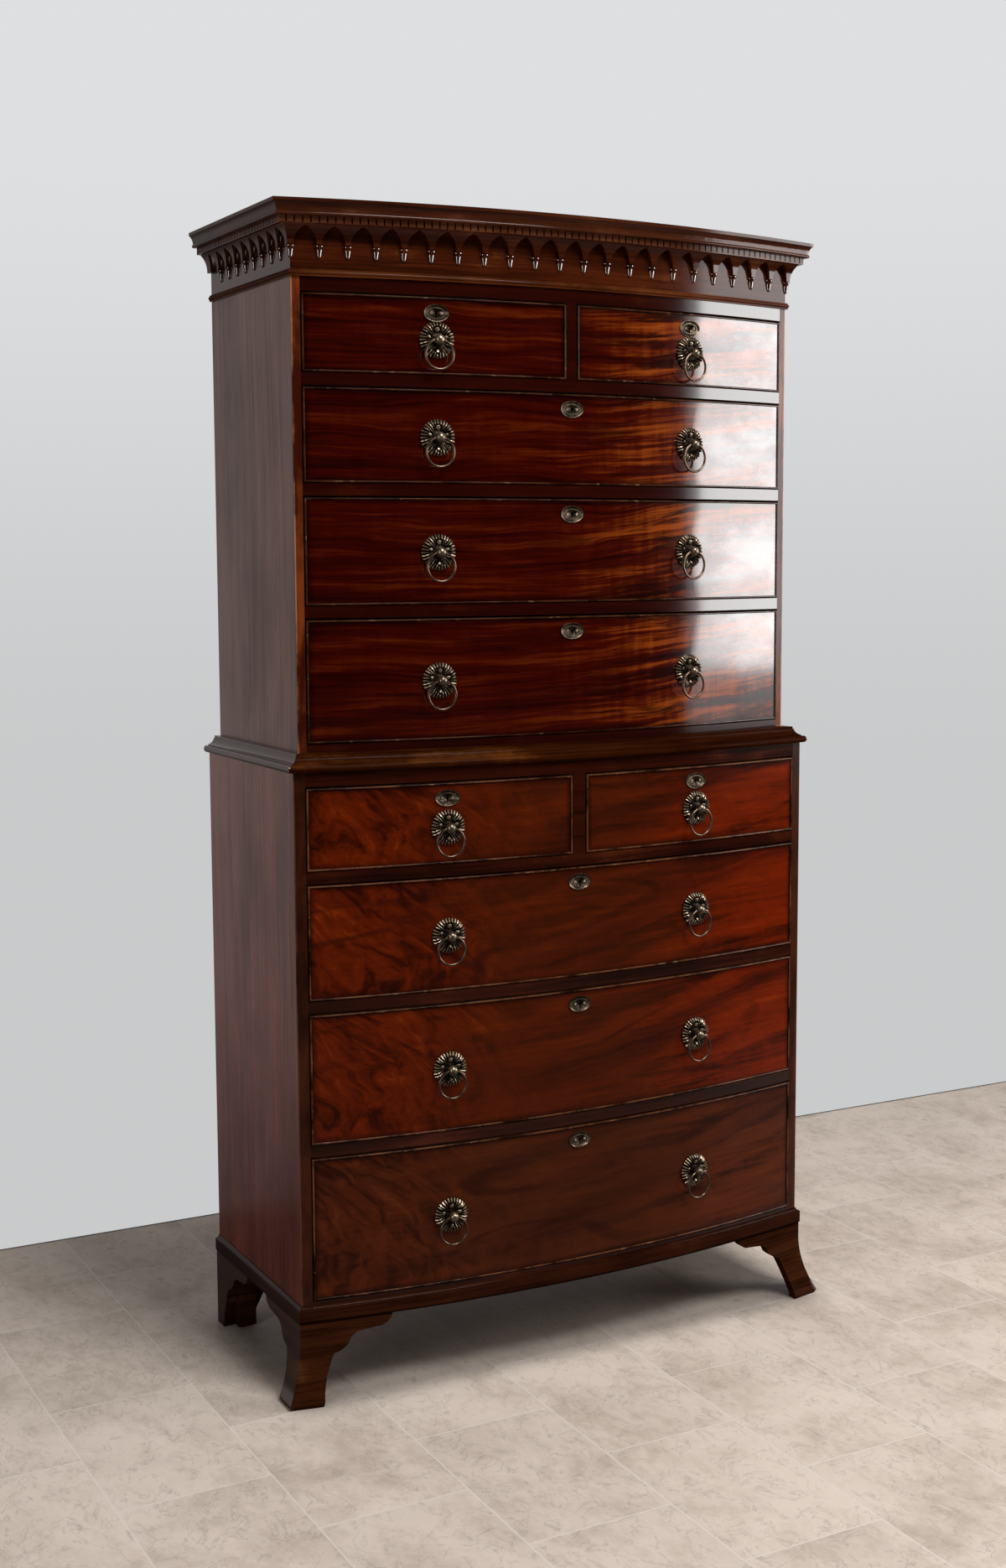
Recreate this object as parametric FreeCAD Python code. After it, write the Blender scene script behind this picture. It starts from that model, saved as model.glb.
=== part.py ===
"""Bow-front mahogany chest on chest: a lower chest on bracket feet, an upper chest that lifts off it,
and a loose cornice on top. Ten cock-beaded drawers slide out, each with a lock and ring pulls.

X runs to the right, the bowed front faces -Y, Z is up. The origin is on the floor, under the middle
of the overall depth. All sizes are in millimetres.
"""
import FreeCAD, Part
import math
import os
from FreeCAD import Vector

# How far the lower chest stands out past the upper one, at its sides and at its front corners
STEP_SIDE = 23.0
STEP_FRONT = 32.0

# Lower chest
LOWER_BOW = 55.0
LOWER_SIDE_BOARD = 20.0
LOWER_BOTTOM_RAIL = 35.5
LOWER_TOP_RAIL = 38.0
LOWER_DIVIDER = 26.0
LOWER_LONG_DRAWERS = (257.0, 231.5, 203.0)
LOWER_SHORT_DRAWER = 144.0

# Upper chest
UPPER_WIDTH = 1030.0
UPPER_SIDE_DEPTH = 392.0
UPPER_BOW = 61.0
UPPER_SIDE_BOARD = 15.0
UPPER_BOTTOM_RAIL = 32.0
UPPER_TOP_RAIL = 23.5
UPPER_DIVIDER = 20.5
UPPER_LONG_DRAWERS = (214.0, 185.0, 161.5)
UPPER_SHORT_DRAWER = 132.0

# Boards that both cases share
RAIL = 21.0
RAIL_DEPTH = 45.0
DUSTBOARD = 10.0
CASE_BOARD = 15.0
BACK_BOARD = 12.0
BACK_REBATE = 8.0
BACK_PLANKS = 4

# Room around a closed drawer
GAP_BELOW = 1.5
GAP_ABOVE = 3.5
GAP_SIDE = 1.8
GAP_BEHIND = 10.0
RUNNING_GAP = 0.3

# Drawer boxes
DRAWER_FRONT = 20.0
DRAWER_SIDE = 10.0
DRAWER_BOTTOM = 7.0
DRAWER_BOTTOM_RISE = 7.0
DRAWER_SIDE_DROP = 6.0
DRAWER_BACK_DROP = 14.0
SLIP_WIDTH = 12.0
MUNTIN_WIDTH = 50.0
MUNTIN_EXTRA = 1.5
BEAD = 3.5
BEAD_DEPTH = 9.0
BEAD_PROUD = 2.5
BEAD_ROUND = 1.6
STOP_WIDTH = 30.0
STOP_DEPTH = 12.0
STOP_HEIGHT = 5.0
STOP_INSET = 90.0

# Locks and escutcheons
LOCK_DROP = 27.0
LOCK_DEPTH = 9.5
LOCK_WIDTH = 60.0
LOCK_HEIGHT = 38.0
BOLT_WIDTH = 14.0
BOLT_THICK = 5.0
BOLT_HEIGHT = 24.0
BOLT_GAP = 0.3
BOLT_THROW = 8.0
BOLT_WALL = 2.5
LOCK_SCREW_RADIUS = 1.5
LOCK_SCREW_LENGTH = 15.0
LOCK_SCREW_INSET = 6.0
KEYHOLE_RADIUS = 3.0
KEYHOLE_SLOT = 2.6
KEYHOLE_DROP = 8.0
ESCUTCHEON_WIDTH = 46.5
ESCUTCHEON_HEIGHT = 30.0
ESCUTCHEON_PLATE = 1.2
ESCUTCHEON_RIM = 2.3
ESCUTCHEON_RIM_WIDTH = 2.4

# Ring pulls
PULL_SPACING = 526.0
PULL_DROP_LONG = 2.0
PULL_DROP_SHORT = 7.0
PULL_OUT = 17.0
RING_RADIUS = 25.5
RING_WIRE = 2.25
RING_GAP = 0.4
BOSS_RADIUS = 9.0
POST_RADIUS = 3.5
POST_TAIL = 1.0
NUT_RADIUS = 7.5
NUT_THICK = 4.0
ROSETTE_RADIUS = 30.5
ROSETTE_EDGE = 4.0
ROSETTE_CREST = 9.5
ROSETTE_CREST_RADIUS = 23.8
ROSETTE_HOLLOW = 5.2
ROSETTE_HOLLOW_RADIUS = 13.7
ROSETTE_SEAT = 6.2
ROSETTE_LOBES = 16
ROSETTE_NOTCH = 3.0

# Waist moulding around the foot of the upper chest
WAIST_DROP = 12.5
WAIST_RISE = 18.0
WAIST_OUT = 11.0
WAIST_GAP = 0.5
WAIST_ROUND = 4.0
WAIST_NECK = 2.0
WAIST_SETBACK = 11.0
WAIST_LIP = 1.5
WAIST_HOLLOW = 2.5
WAIST_FILLET = 4.0
WAIST_FRAME = 54.0

# Base moulding
BASE_HEIGHT = 29.0
BASE_CHAMFER = 6.5
BASE_OUT = 8.5
BASE_LIP = 1.5
BASE_HOLLOW = 1.9

# Bracket feet, in thickness
FOOT_HEIGHT = 147.0
FOOT_BOARD = 22.0
FOOT_SETBACK = 2.0
FOOT_SPLAY = 28.5
FOOT_SWEEP = 7.0
FOOT_KNEE_DROP = 29.0
FOOT_TOE = 9.0
FOOT_TOE_HEEL = 5.0
FOOT_TOE_ROUND = 3.0
FOOT_BLOCK = 36.0
FOOT_BLOCK_LIFT = 94.0

# Bracket feet, along the shaped edge from the corner inwards
FOOT_WIDTH = 24.0
LEG_RUN = 29.0
LEG_HOLLOW = 3.9
CUSP_RUN = 27.0
CUSP_RISE = 15.0
CUSP_ROUND = 2.5
OGEE_RUN = 21.0
OGEE_RISE = 20.0
OGEE_HOLLOW = 3.9
TAIL_RUN = 33.0
TAIL_RISE = 4.0
END_RUN = 27.0
END_RISE = 22.0
END_ROUND = 6.7
REAR_FOOT_EXTRA = 9.0
REAR_BRACKET = 95.0
REAR_BRACKET_FOOT = 38.0
REAR_BRACKET_EDGE = 44.0
REAR_BLOCK_LIFT = 3.0

# Cornice
CORNICE_BOARD = 18.0
ASTRAGAL_HEIGHT = 11.5
ASTRAGAL_OUT = 6.3
ASTRAGAL_SEAT = 3.0
ASTRAGAL_FOOT = 2.4
ASTRAGAL_FOOT_OUT = 4.5
ASTRAGAL_EDGE = 2.0
ASTRAGAL_EDGE_OUT = 3.8
SPRING_HEIGHT = 52.0
ARCADE_TOP = 84.0
ARCADE_OUT = 20.0
ARCADE_THICK = 6.0
ARCADE_HOLLOW = 3.8
ARCADE_FOOT_GAP = 1.5
ARCH_LEG = 9.5
ARCH_CROWN = 1.5
ARCH_ROUND = 6.0
FRONT_ARCHES = 21
SIDE_ARCHES = 9
ARCADE_END = 14.0
DENTIL_HEIGHT = 12.0
DENTIL_OUT = 27.0
DENTIL_PITCH = 14.1
DENTIL_KERF = 2.6
DENTIL_KERF_DEPTH = 4.5
DENTIL_FILLET = 1.5
DENTIL_PLAIN_END = 95.0
CROWN_BEAD = 6.0
CROWN_BEAD_OUT = 36.5
CROWN_COVE = 15.0
CROWN_HOLLOW = 1.9
CROWN_STEP = 1.0
CROWN_FILLET = 6.0
CROWN_OUT = 42.0
PENDANT_RADIUS = 8.0
PENDANT_LENGTH = 23.0
CORNER_BLOCK = 36.0
DUST_TOP = 8.0

# A pendant's turning, from its top down, in shares of its radius and of its length
PENDANT_TURNING = (
    (0.66, 0.0), (1.0, 0.09), (1.0, 0.15), (0.7, 0.22), (0.76, 0.36), (0.46, 0.86), (0.24, 0.97))

# Places that follow from the sizes
LOWER_WIDTH = UPPER_WIDTH + 2 * STEP_SIDE
LOWER_SIDE_DEPTH = UPPER_SIDE_DEPTH + STEP_FRONT
UPPER_REACH = UPPER_SIDE_DEPTH + UPPER_BOW + CROWN_OUT
LOWER_REACH = LOWER_SIDE_DEPTH + LOWER_BOW + WAIST_OUT
BACK_Y = max(UPPER_REACH, LOWER_REACH) / 2
DRAWER_ROOM = GAP_BELOW + GAP_ABOVE
LOWER_DRAWERS = LOWER_LONG_DRAWERS + (LOWER_SHORT_DRAWER,)
UPPER_DRAWERS = UPPER_LONG_DRAWERS + (UPPER_SHORT_DRAWER,)

# How far a cutting shape runs past what it cuts, and a mitre past its corner
CUT_EXTRA = 1.0
MITRE_REACH = 60.0
SAME_POINT = 0.001


def box(x0, x1, y0, y1, z0, z1):
    return Part.makeBox(x1 - x0, y1 - y0, z1 - z0, Vector(x0, y0, z0))


def bend(start, end, height):
    """An outline's step along an arc that bulges to the left of its way by a height."""
    run = end[0] - start[0]
    rise = end[1] - start[1]
    lean = height / math.hypot(run, rise)
    middle_x = (start[0] + end[0]) / 2 - lean * rise
    middle_z = (start[1] + end[1]) / 2 + lean * run
    return middle_x, middle_z, end[0], end[1]


def outline_face(steps, place, turned=False):
    """A flat face inside a closed outline. A step of two numbers is a straight run to that point.
    A step of four is an arc, by a point on the way and its end. In an outline that will be turned
    about an axis the arcs are splines, so that the turned surface has no seam."""
    at = place(*steps[0])
    edges = []
    for step in list(steps[1:]) + [steps[0]]:
        end = place(*step[-2:])
        if len(step) == 4:
            arc = Part.Arc(at, place(*step[:2]), end)
            edges.append((arc.toBSpline() if turned else arc).toShape())
        elif not end.isEqual(at, SAME_POINT):
            edges.append(Part.makeLine(at, end))
        at = end
    return Part.Face(Part.Wire(edges))


class Case:
    """One chest's outer form: a box with a bowed front, which is an arc through its front corners."""

    def __init__(self, width, side_depth, bow, side_board, bottom):
        self.half = width / 2
        self.inner = self.half - side_board
        self.side_depth = side_depth
        self.bottom = bottom
        self.corner_y = BACK_Y - side_depth
        self.radius = (self.half ** 2 + bow ** 2) / (2 * bow)
        self.centre_y = self.corner_y - bow + self.radius

    def front_y(self, x, out=0.0):
        """Y of the front, or of the surface that stands out from it, at x."""
        return self.centre_y - math.sqrt((self.radius + out) ** 2 - x ** 2)

    def turn(self, x):
        """Degrees that the front is turned about Z at x."""
        return math.degrees(math.asin(x / self.radius))

    def front_arc(self, x0, x1, out, z):
        points = [Vector(x, self.front_y(x, out), z) for x in (x0, (x0 + x1) / 2, x1)]
        return Part.Arc(*points).toShape()

    def slab(self, x0, x1, z0, z1, front, back):
        """A bowed board between two offsets of the front."""
        edges = [
            self.front_arc(x0, x1, front, z0),
            Part.makeLine(Vector(x1, self.front_y(x1, front), z0), Vector(x1, self.front_y(x1, back), z0)),
            self.front_arc(x1, x0, back, z0),
            Part.makeLine(Vector(x0, self.front_y(x0, back), z0), Vector(x0, self.front_y(x0, front), z0)),
        ]
        return Part.Face(Part.Wire(edges)).extrude(Vector(0, 0, z1 - z0))

    def block(self, x0, x1, z0, z1, front, back_y):
        """A piece with a bowed front edge and a straight back."""
        edges = [
            self.front_arc(x0, x1, front, z0),
            Part.makeLine(Vector(x1, self.front_y(x1, front), z0), Vector(x1, back_y, z0)),
            Part.makeLine(Vector(x1, back_y, z0), Vector(x0, back_y, z0)),
            Part.makeLine(Vector(x0, back_y, z0), Vector(x0, self.front_y(x0, front), z0)),
        ]
        return Part.Face(Part.Wire(edges)).extrude(Vector(0, 0, z1 - z0))

    def on_front(self, shape, x, z):
        """Places a fitting that is drawn at the origin facing -Y on the front, at x and z."""
        placed = shape.copy()
        placed.rotate(Vector(0, 0, 0), Vector(0, 0, 1), self.turn(x))
        placed.translate(Vector(x, self.front_y(x), z))
        return placed

    def mitre_point(self, side, out):
        """Where the front's and the side's mouldings meet when both stand out by the same amount."""
        x = self.half + out
        return Vector(side * x, self.front_y(x, out), 0)

    def mitre_line(self, side):
        """The mitre in the plan: from behind the case's corner, through it, to beyond it."""
        return [self.mitre_point(side, out) for out in (-MITRE_REACH, 0, MITRE_REACH)]

    def mitred(self, piece, corners):
        """The part of a moulding that lies inside a region of the floor plan."""
        points = corners + [corners[0]]
        floor = Part.Face(Part.makePolygon(points))
        room = piece.BoundBox
        prism = floor.extrude(Vector(0, 0, room.ZLength + 2 * CUT_EXTRA))
        prism.translate(Vector(0, 0, room.ZMin - CUT_EXTRA))
        return piece.common(prism)

    def bowed_run(self, section):
        """A section swept along the bow, past both corners."""
        middle_y = self.centre_y - self.radius
        face = outline_face(section, lambda out, z: Vector(0, middle_y - out, z), turned=True)
        reach = math.degrees(math.asin((self.half + MITRE_REACH) / self.radius))
        axis = Vector(0, self.centre_y, 0)
        face.rotate(axis, Vector(0, 0, 1), -reach)
        return face.revolve(axis, Vector(0, 0, 1), 2 * reach)

    def front_run(self, section):
        """A moulding's length along the bowed front, mitred at both corners."""
        ahead = self.front_y(0, 2 * MITRE_REACH)
        corners = []
        for side in (-1, 1):
            inner, corner, outer = self.mitre_line(side)
            reach_in = [inner, corner, outer, Vector(outer.x, ahead, 0)]
            corners += reach_in[::-side]
        return self.mitred(self.bowed_run(section), corners)

    def side_run(self, section, side):
        """The same moulding's length along one side, from the mitre to the back."""
        face = outline_face(section, lambda out, z: Vector(side * (self.half + out), BACK_Y, z))
        run = face.extrude(Vector(0, -self.side_depth - 2 * MITRE_REACH, 0))
        inner, corner, outer = self.mitre_line(side)
        corners = [inner, corner, outer, Vector(outer.x, BACK_Y, 0), Vector(inner.x, BACK_Y, 0)]
        return self.mitred(run, corners)

    def moulding(self, section):
        return [self.front_run(section), self.side_run(section, -1), self.side_run(section, 1)]


def stack_height(bottom_rail, drawers, top_rail):
    """A case's height: its drawers with the gaps around them, and the rails between them."""
    openings = sum(drawers) + len(drawers) * DRAWER_ROOM
    return bottom_rail + openings + (len(drawers) - 1) * RAIL + top_rail


LOWER_TOP = FOOT_HEIGHT + stack_height(LOWER_BOTTOM_RAIL, LOWER_DRAWERS, LOWER_TOP_RAIL)
UPPER_TOP = LOWER_TOP + stack_height(UPPER_BOTTOM_RAIL, UPPER_DRAWERS, UPPER_TOP_RAIL)
CORNICE_TOP = UPPER_TOP + ARCADE_TOP + DENTIL_HEIGHT + CROWN_BEAD + CROWN_COVE + CROWN_FILLET

LOWER = Case(LOWER_WIDTH, LOWER_SIDE_DEPTH, LOWER_BOW, LOWER_SIDE_BOARD, FOOT_HEIGHT)
UPPER = Case(UPPER_WIDTH, UPPER_SIDE_DEPTH, UPPER_BOW, UPPER_SIDE_BOARD, LOWER_TOP)


class Drawer:
    """Where one drawer lies in its case, with the names of its pieces."""

    def __init__(self, name, case, x0, x1, bottom, height):
        self.name = name
        self.case = case
        self.x0 = x0
        self.x1 = x1
        self.bottom = bottom
        self.top = bottom + height
        self.run = bottom - GAP_BELOW + RUNNING_GAP
        self.back_y = BACK_Y - BACK_BOARD - GAP_BEHIND
        middle = (bottom + self.top) / 2
        self.is_long = x0 < 0 < x1
        if self.is_long:
            self.lock_x = 0.0
            self.pulls = {"left": -PULL_SPACING / 2, "right": PULL_SPACING / 2}
            self.pull_z = middle - PULL_DROP_LONG
        else:
            self.lock_x = math.copysign(PULL_SPACING / 2, x0 + x1)
            self.pulls = {"middle": self.lock_x}
            self.pull_z = middle - PULL_DROP_SHORT


def drawers_of(case, prefix, bottom_rail, long_drawers, short_drawer, divider):
    """The drawers of one case, from the top down, with the two short ones first."""
    edge = case.inner - GAP_SIDE
    z = case.bottom + bottom_rail
    rows = []
    for number, height in enumerate(long_drawers):
        name = "%s_drawer_%d" % (prefix, len(long_drawers) + 1 - number)
        rows.append(Drawer(name, case, -edge, edge, z + GAP_BELOW, height))
        z += height + DRAWER_ROOM + RAIL
    near = divider / 2 + GAP_SIDE
    left = Drawer(prefix + "_drawer_1_left", case, -edge, -near, z + GAP_BELOW, short_drawer)
    right = Drawer(prefix + "_drawer_1_right", case, near, edge, z + GAP_BELOW, short_drawer)
    return [left, right] + rows[::-1]


UPPER_ROWS = drawers_of(
    UPPER, "upper", UPPER_BOTTOM_RAIL, UPPER_LONG_DRAWERS, UPPER_SHORT_DRAWER, UPPER_DIVIDER)
LOWER_ROWS = drawers_of(
    LOWER, "lower", LOWER_BOTTOM_RAIL, LOWER_LONG_DRAWERS, LOWER_SHORT_DRAWER, LOWER_DIVIDER)


# ---------------------------------------------------------------- carcases

def case_sides(case, top):
    """Two side boards. Each has a bowed front edge and a rebate behind for the back."""
    sides = []
    for side in (-1, 1):
        x0, x1 = sorted((side * case.inner, side * case.half))
        board = case.block(x0, x1, case.bottom, top, 0, BACK_Y)
        r0, r1 = sorted((side * case.inner, side * (case.inner + BACK_REBATE)))
        rebate = box(r0, r1, BACK_Y - BACK_BOARD, BACK_Y, case.bottom, top)
        sides.append(board.cut(rebate))
    return sides


def case_back(case, top):
    """Upright planks, nailed into the rebates of the sides."""
    edge = case.inner + BACK_REBATE
    width = 2 * edge / BACK_PLANKS
    planks = []
    for number in range(BACK_PLANKS):
        x0 = -edge + number * width
        planks.append(box(x0, x0 + width, BACK_Y - BACK_BOARD, BACK_Y, case.bottom, top))
    return planks


def rail_levels(rows):
    """The top of each rail that a drawer runs on, from the bottom up."""
    return sorted({row.bottom - GAP_BELOW for row in rows})


def case_boards(case, rows, top, divider):
    """The bottom, the dustboards, the top and the partition between the short drawers."""
    behind_rail = case.corner_y + RAIL_DEPTH
    behind = BACK_Y - BACK_BOARD
    levels = rail_levels(rows)
    boards = [box(-case.inner, case.inner, behind_rail, behind, levels[0] - CASE_BOARD, levels[0])]
    for level in levels[1:]:
        boards.append(box(-case.inner, case.inner, behind_rail, behind, level - DUSTBOARD, level))
    boards.append(box(-case.inner, case.inner, behind_rail, behind, top - CASE_BOARD, top))
    boards.append(box(-divider / 2, divider / 2, behind_rail, behind, levels[-1], top - CASE_BOARD))
    return boards


def case_rails(case, rows, top_rail, top, divider):
    """The front rails with mortises for the bolts, the short divider, and the drawer stops."""
    behind = case.corner_y + RAIL_DEPTH
    levels = rail_levels(rows)
    spans = [(case.bottom, levels[0])]
    spans += [(level - RAIL, level) for level in levels[1:]]
    spans.append((top - top_rail, top))
    rails = [case.block(-case.inner, case.inner, z0, z1, 0, behind) for z0, z1 in spans]
    mortises = Part.makeCompound([bolt_mortise(row) for row in rows])
    rails = [rail.cut(mortises) for rail in rails]
    rails.append(case.block(-divider / 2, divider / 2, levels[-1], top - top_rail, 0, behind))
    for row in rows:
        rails += drawer_stops(row)
    return rails


def bolt_mortise(row):
    """The slot in the rail above a drawer that its bolt rises into."""
    half = BOLT_WIDTH / 2 + 2 * BOLT_GAP
    near, far = bolt_depths()
    depth = BOLT_THROW - GAP_ABOVE + 3 * BOLT_GAP
    slot = box(-half, half, near - 2 * BOLT_GAP, far + 2 * BOLT_GAP, 0, depth)
    return row.case.on_front(slot, row.lock_x, row.top + GAP_ABOVE)


def drawer_stops(row):
    """Two small blocks on the rail that the drawer's front meets when it closes."""
    stops = []
    for x in (row.x0 + STOP_INSET, row.x1 - STOP_INSET):
        x0 = x - STOP_WIDTH / 2
        x1 = x + STOP_WIDTH / 2
        y0 = row.case.front_y(max(abs(x0), abs(x1)), -DRAWER_FRONT) + RUNNING_GAP
        z0 = row.bottom - GAP_BELOW
        stops.append(box(x0, x1, y0, y0 + STOP_DEPTH, z0, z0 + STOP_HEIGHT))
    return stops


# ---------------------------------------------------------------- mouldings and feet

def waist_section():
    """A torus against the lower chest's sides, and a cove above it that stands on its top."""
    foot = LOWER_TOP - WAIST_DROP
    crown = LOWER_TOP + WAIST_RISE
    under = (WAIST_OUT - WAIST_ROUND, foot)
    over = (WAIST_OUT - WAIST_ROUND, LOWER_TOP)
    neck = (WAIST_NECK, LOWER_TOP + WAIST_NECK)
    lip = (WAIST_LIP - WAIST_SETBACK, crown - WAIST_FILLET)
    return [
        (0, foot),
        under,
        bend(under, over, -WAIST_ROUND),
        (WAIST_NECK, LOWER_TOP),
        neck,
        bend(neck, lip, WAIST_HOLLOW),
        (-WAIST_SETBACK, crown - WAIST_FILLET),
        (-WAIST_SETBACK, crown),
        (-WAIST_FRAME, crown),
        (-WAIST_FRAME, LOWER_TOP),
        (0, LOWER_TOP),
    ]


def waist_moulding():
    """The moulding that frames the upper chest's foot, cut back to clear that chest."""
    seat_x = UPPER.half + WAIST_GAP
    above = LOWER_TOP + WAIST_RISE + CUT_EXTRA
    seat = UPPER.block(-seat_x, seat_x, LOWER_TOP, above, WAIST_GAP, BACK_Y + CUT_EXTRA)
    return [piece.cut(seat) for piece in LOWER.moulding(waist_section())]


def base_moulding():
    """A flat band with a hollowed top edge."""
    edge = FOOT_HEIGHT + BASE_HEIGHT
    band = (BASE_OUT, edge - BASE_CHAMFER)
    return LOWER.moulding([
        (0, FOOT_HEIGHT),
        (BASE_OUT, FOOT_HEIGHT),
        band,
        bend(band, (BASE_LIP, edge), BASE_HOLLOW),
        (0, edge),
    ])


def foot_section():
    """A front foot's thickness: a board that splays out from the knee down to a small upright toe."""
    face = BASE_OUT - FOOT_SETBACK
    toe = face + FOOT_SPLAY
    knee = FOOT_HEIGHT - FOOT_KNEE_DROP
    back_toe = (toe - FOOT_BOARD, FOOT_TOE)
    back_knee = (face - FOOT_BOARD, knee)
    return [
        (toe - FOOT_BOARD, 0),
        (toe - FOOT_TOE_ROUND, 0),
        (toe, FOOT_TOE_HEEL),
        (toe, FOOT_TOE),
        bend((toe, FOOT_TOE), (face, knee), FOOT_SWEEP),
        (face, FOOT_HEIGHT),
        (face - FOOT_BOARD, FOOT_HEIGHT),
        back_knee,
        bend(back_knee, back_toe, -FOOT_SWEEP),
    ]


def foot_outline(shift):
    """A bracket's shaped edge, from the corner inwards: a leg, a cusp, an ogee, a tail and its end."""
    tail_z = FOOT_HEIGHT - END_RISE
    ogee_z = tail_z - TAIL_RISE
    cusp_z = ogee_z - OGEE_RISE
    foot = (FOOT_WIDTH + shift, 0)
    leg = (foot[0] + LEG_RUN, cusp_z - CUSP_RISE)
    cusp = (leg[0] + CUSP_RUN, cusp_z)
    ogee = (cusp[0] + OGEE_RUN, ogee_z)
    tail = (ogee[0] + TAIL_RUN, tail_z)
    end = (tail[0] + END_RUN, FOOT_HEIGHT)
    return [
        (-MITRE_REACH, 0),
        foot,
        bend(foot, leg, LEG_HOLLOW),
        bend(leg, cusp, -CUSP_ROUND),
        bend(cusp, ogee, OGEE_HOLLOW),
        tail,
        bend(tail, end, -END_ROUND),
        (-MITRE_REACH, FOOT_HEIGHT),
    ]


def front_foot(side):
    """A splayed front foot: two mitred bracket boards and the block glued behind them."""
    ahead = LOWER.corner_y - LOWER_BOW - 2 * MITRE_REACH
    shape = foot_outline(0)
    across = outline_face(shape, lambda s, z: Vector(side * (LOWER.half - s), ahead, z))
    along = outline_face(shape, lambda s, z: Vector(0, LOWER.corner_y + s, z))
    front = LOWER.front_run(foot_section()).common(across.extrude(Vector(0, LOWER_SIDE_DEPTH, 0)))
    flank = LOWER.side_run(foot_section(), side)
    flank = flank.common(along.extrude(Vector(side * LOWER_WIDTH, 0, 0)))
    behind = BASE_OUT - FOOT_SETBACK - FOOT_BOARD
    x_in = LOWER.half + behind
    x0, x1 = sorted((side * x_in, side * (x_in - FOOT_BLOCK)))
    y1 = LOWER.corner_y + FOOT_BLOCK
    block = LOWER.block(x0, x1, FOOT_BLOCK_LIFT, FOOT_HEIGHT, behind, y1)
    return [front, flank, block]


def rear_foot(side):
    """A straight rear foot: a shaped side bracket, a plain back bracket and the block between."""
    face = LOWER.half + BASE_OUT - FOOT_SETBACK
    x_in = face - FOOT_BOARD
    x0, x1 = sorted((side * face, side * x_in))
    along = outline_face(foot_outline(REAR_FOOT_EXTRA), lambda s, z: Vector(x0, BACK_Y - s, z))
    board = box(x0, x1, BACK_Y - LOWER_SIDE_DEPTH, BACK_Y, 0, FOOT_HEIGHT)
    flank = board.common(along.extrude(Vector(x1 - x0, 0, 0)))
    shape = [
        (0, 0),
        (REAR_BRACKET_FOOT, 0),
        (REAR_BRACKET, FOOT_HEIGHT - REAR_BRACKET_EDGE),
        (REAR_BRACKET, FOOT_HEIGHT),
        (0, FOOT_HEIGHT),
    ]
    slope = outline_face(shape, lambda s, z: Vector(side * (x_in - s), BACK_Y, z))
    back = slope.extrude(Vector(0, -FOOT_BOARD, 0))
    b0, b1 = sorted((side * x_in, side * (x_in - FOOT_BLOCK)))
    y1 = BACK_Y - FOOT_BOARD
    block = box(b0, b1, y1 - FOOT_BLOCK, y1, REAR_BLOCK_LIFT, FOOT_HEIGHT)
    return [flank, back, block]


def bracket_feet():
    pieces = []
    for side in (-1, 1):
        pieces += front_foot(side)
        pieces += rear_foot(side)
    return pieces


# ---------------------------------------------------------------- cornice

def raised(section):
    """A cornice section, moved up to where the cornice stands."""
    return [tuple(value + UPPER_TOP if place % 2 else value for place, value in enumerate(step))
            for step in section]


def dentil_kerfs():
    """The saw cuts that part a dentil course into blocks, along the bow and along both sides."""
    low = UPPER_TOP + ARCADE_TOP + DENTIL_FILLET
    high = UPPER_TOP + ARCADE_TOP + DENTIL_HEIGHT
    half = DENTIL_KERF / 2
    inner = DENTIL_OUT - DENTIL_KERF_DEPTH
    face = UPPER.front_y(0, DENTIL_OUT)
    kerf = box(-half, half, face - CUT_EXTRA, face + DENTIL_KERF_DEPTH, low, high)
    axis = Vector(0, UPPER.centre_y, 0)
    radius = UPPER.radius + DENTIL_OUT
    reach = math.asin((UPPER.half + DENTIL_OUT) / radius) * radius
    count = int(reach / DENTIL_PITCH)
    front = []
    for number in range(-count, count + 1):
        cut = kerf.copy()
        cut.rotate(axis, Vector(0, 0, 1), math.degrees(number * DENTIL_PITCH / radius))
        front.append(cut)
    sides = {-1: [], 1: []}
    y = UPPER.mitre_point(1, DENTIL_OUT).y + DENTIL_PITCH
    while y < BACK_Y - DENTIL_PLAIN_END:
        for side in sides:
            x0, x1 = sorted((side * (UPPER.half + inner), side * (UPPER.half + DENTIL_OUT + CUT_EXTRA)))
            sides[side].append(box(x0, x1, y - half, y + half, low, high))
        y += DENTIL_PITCH
    return [Part.makeCompound(cuts) for cuts in (front, sides[-1], sides[1])]


def crown_moulding():
    """Dentil course, bead, cove and fillet. The dentil course stands under the crown."""
    bead = ARCADE_TOP + DENTIL_HEIGHT
    cove = bead + CROWN_BEAD
    fillet = cove + CROWN_COVE
    edge = fillet + CROWN_FILLET
    neck = CROWN_BEAD_OUT - CROWN_BEAD / 2
    foot = (neck + CROWN_STEP, cove)
    dentils = [(0, ARCADE_TOP), (DENTIL_OUT, ARCADE_TOP), (DENTIL_OUT, bead), (0, bead)]
    crown = [
        (-CORNICE_BOARD, bead),
        (neck, bead),
        bend((neck, bead), (neck, cove), -CROWN_BEAD / 2),
        foot,
        bend(foot, (CROWN_OUT - CROWN_STEP, fillet), CROWN_HOLLOW),
        (CROWN_OUT, fillet),
        (CROWN_OUT, edge),
        (-CORNICE_BOARD, edge),
    ]
    courses = UPPER.moulding(raised(dentils))
    courses = [course.cut(kerfs) for course, kerfs in zip(courses, dentil_kerfs())]
    return courses + UPPER.moulding(raised(crown))


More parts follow.
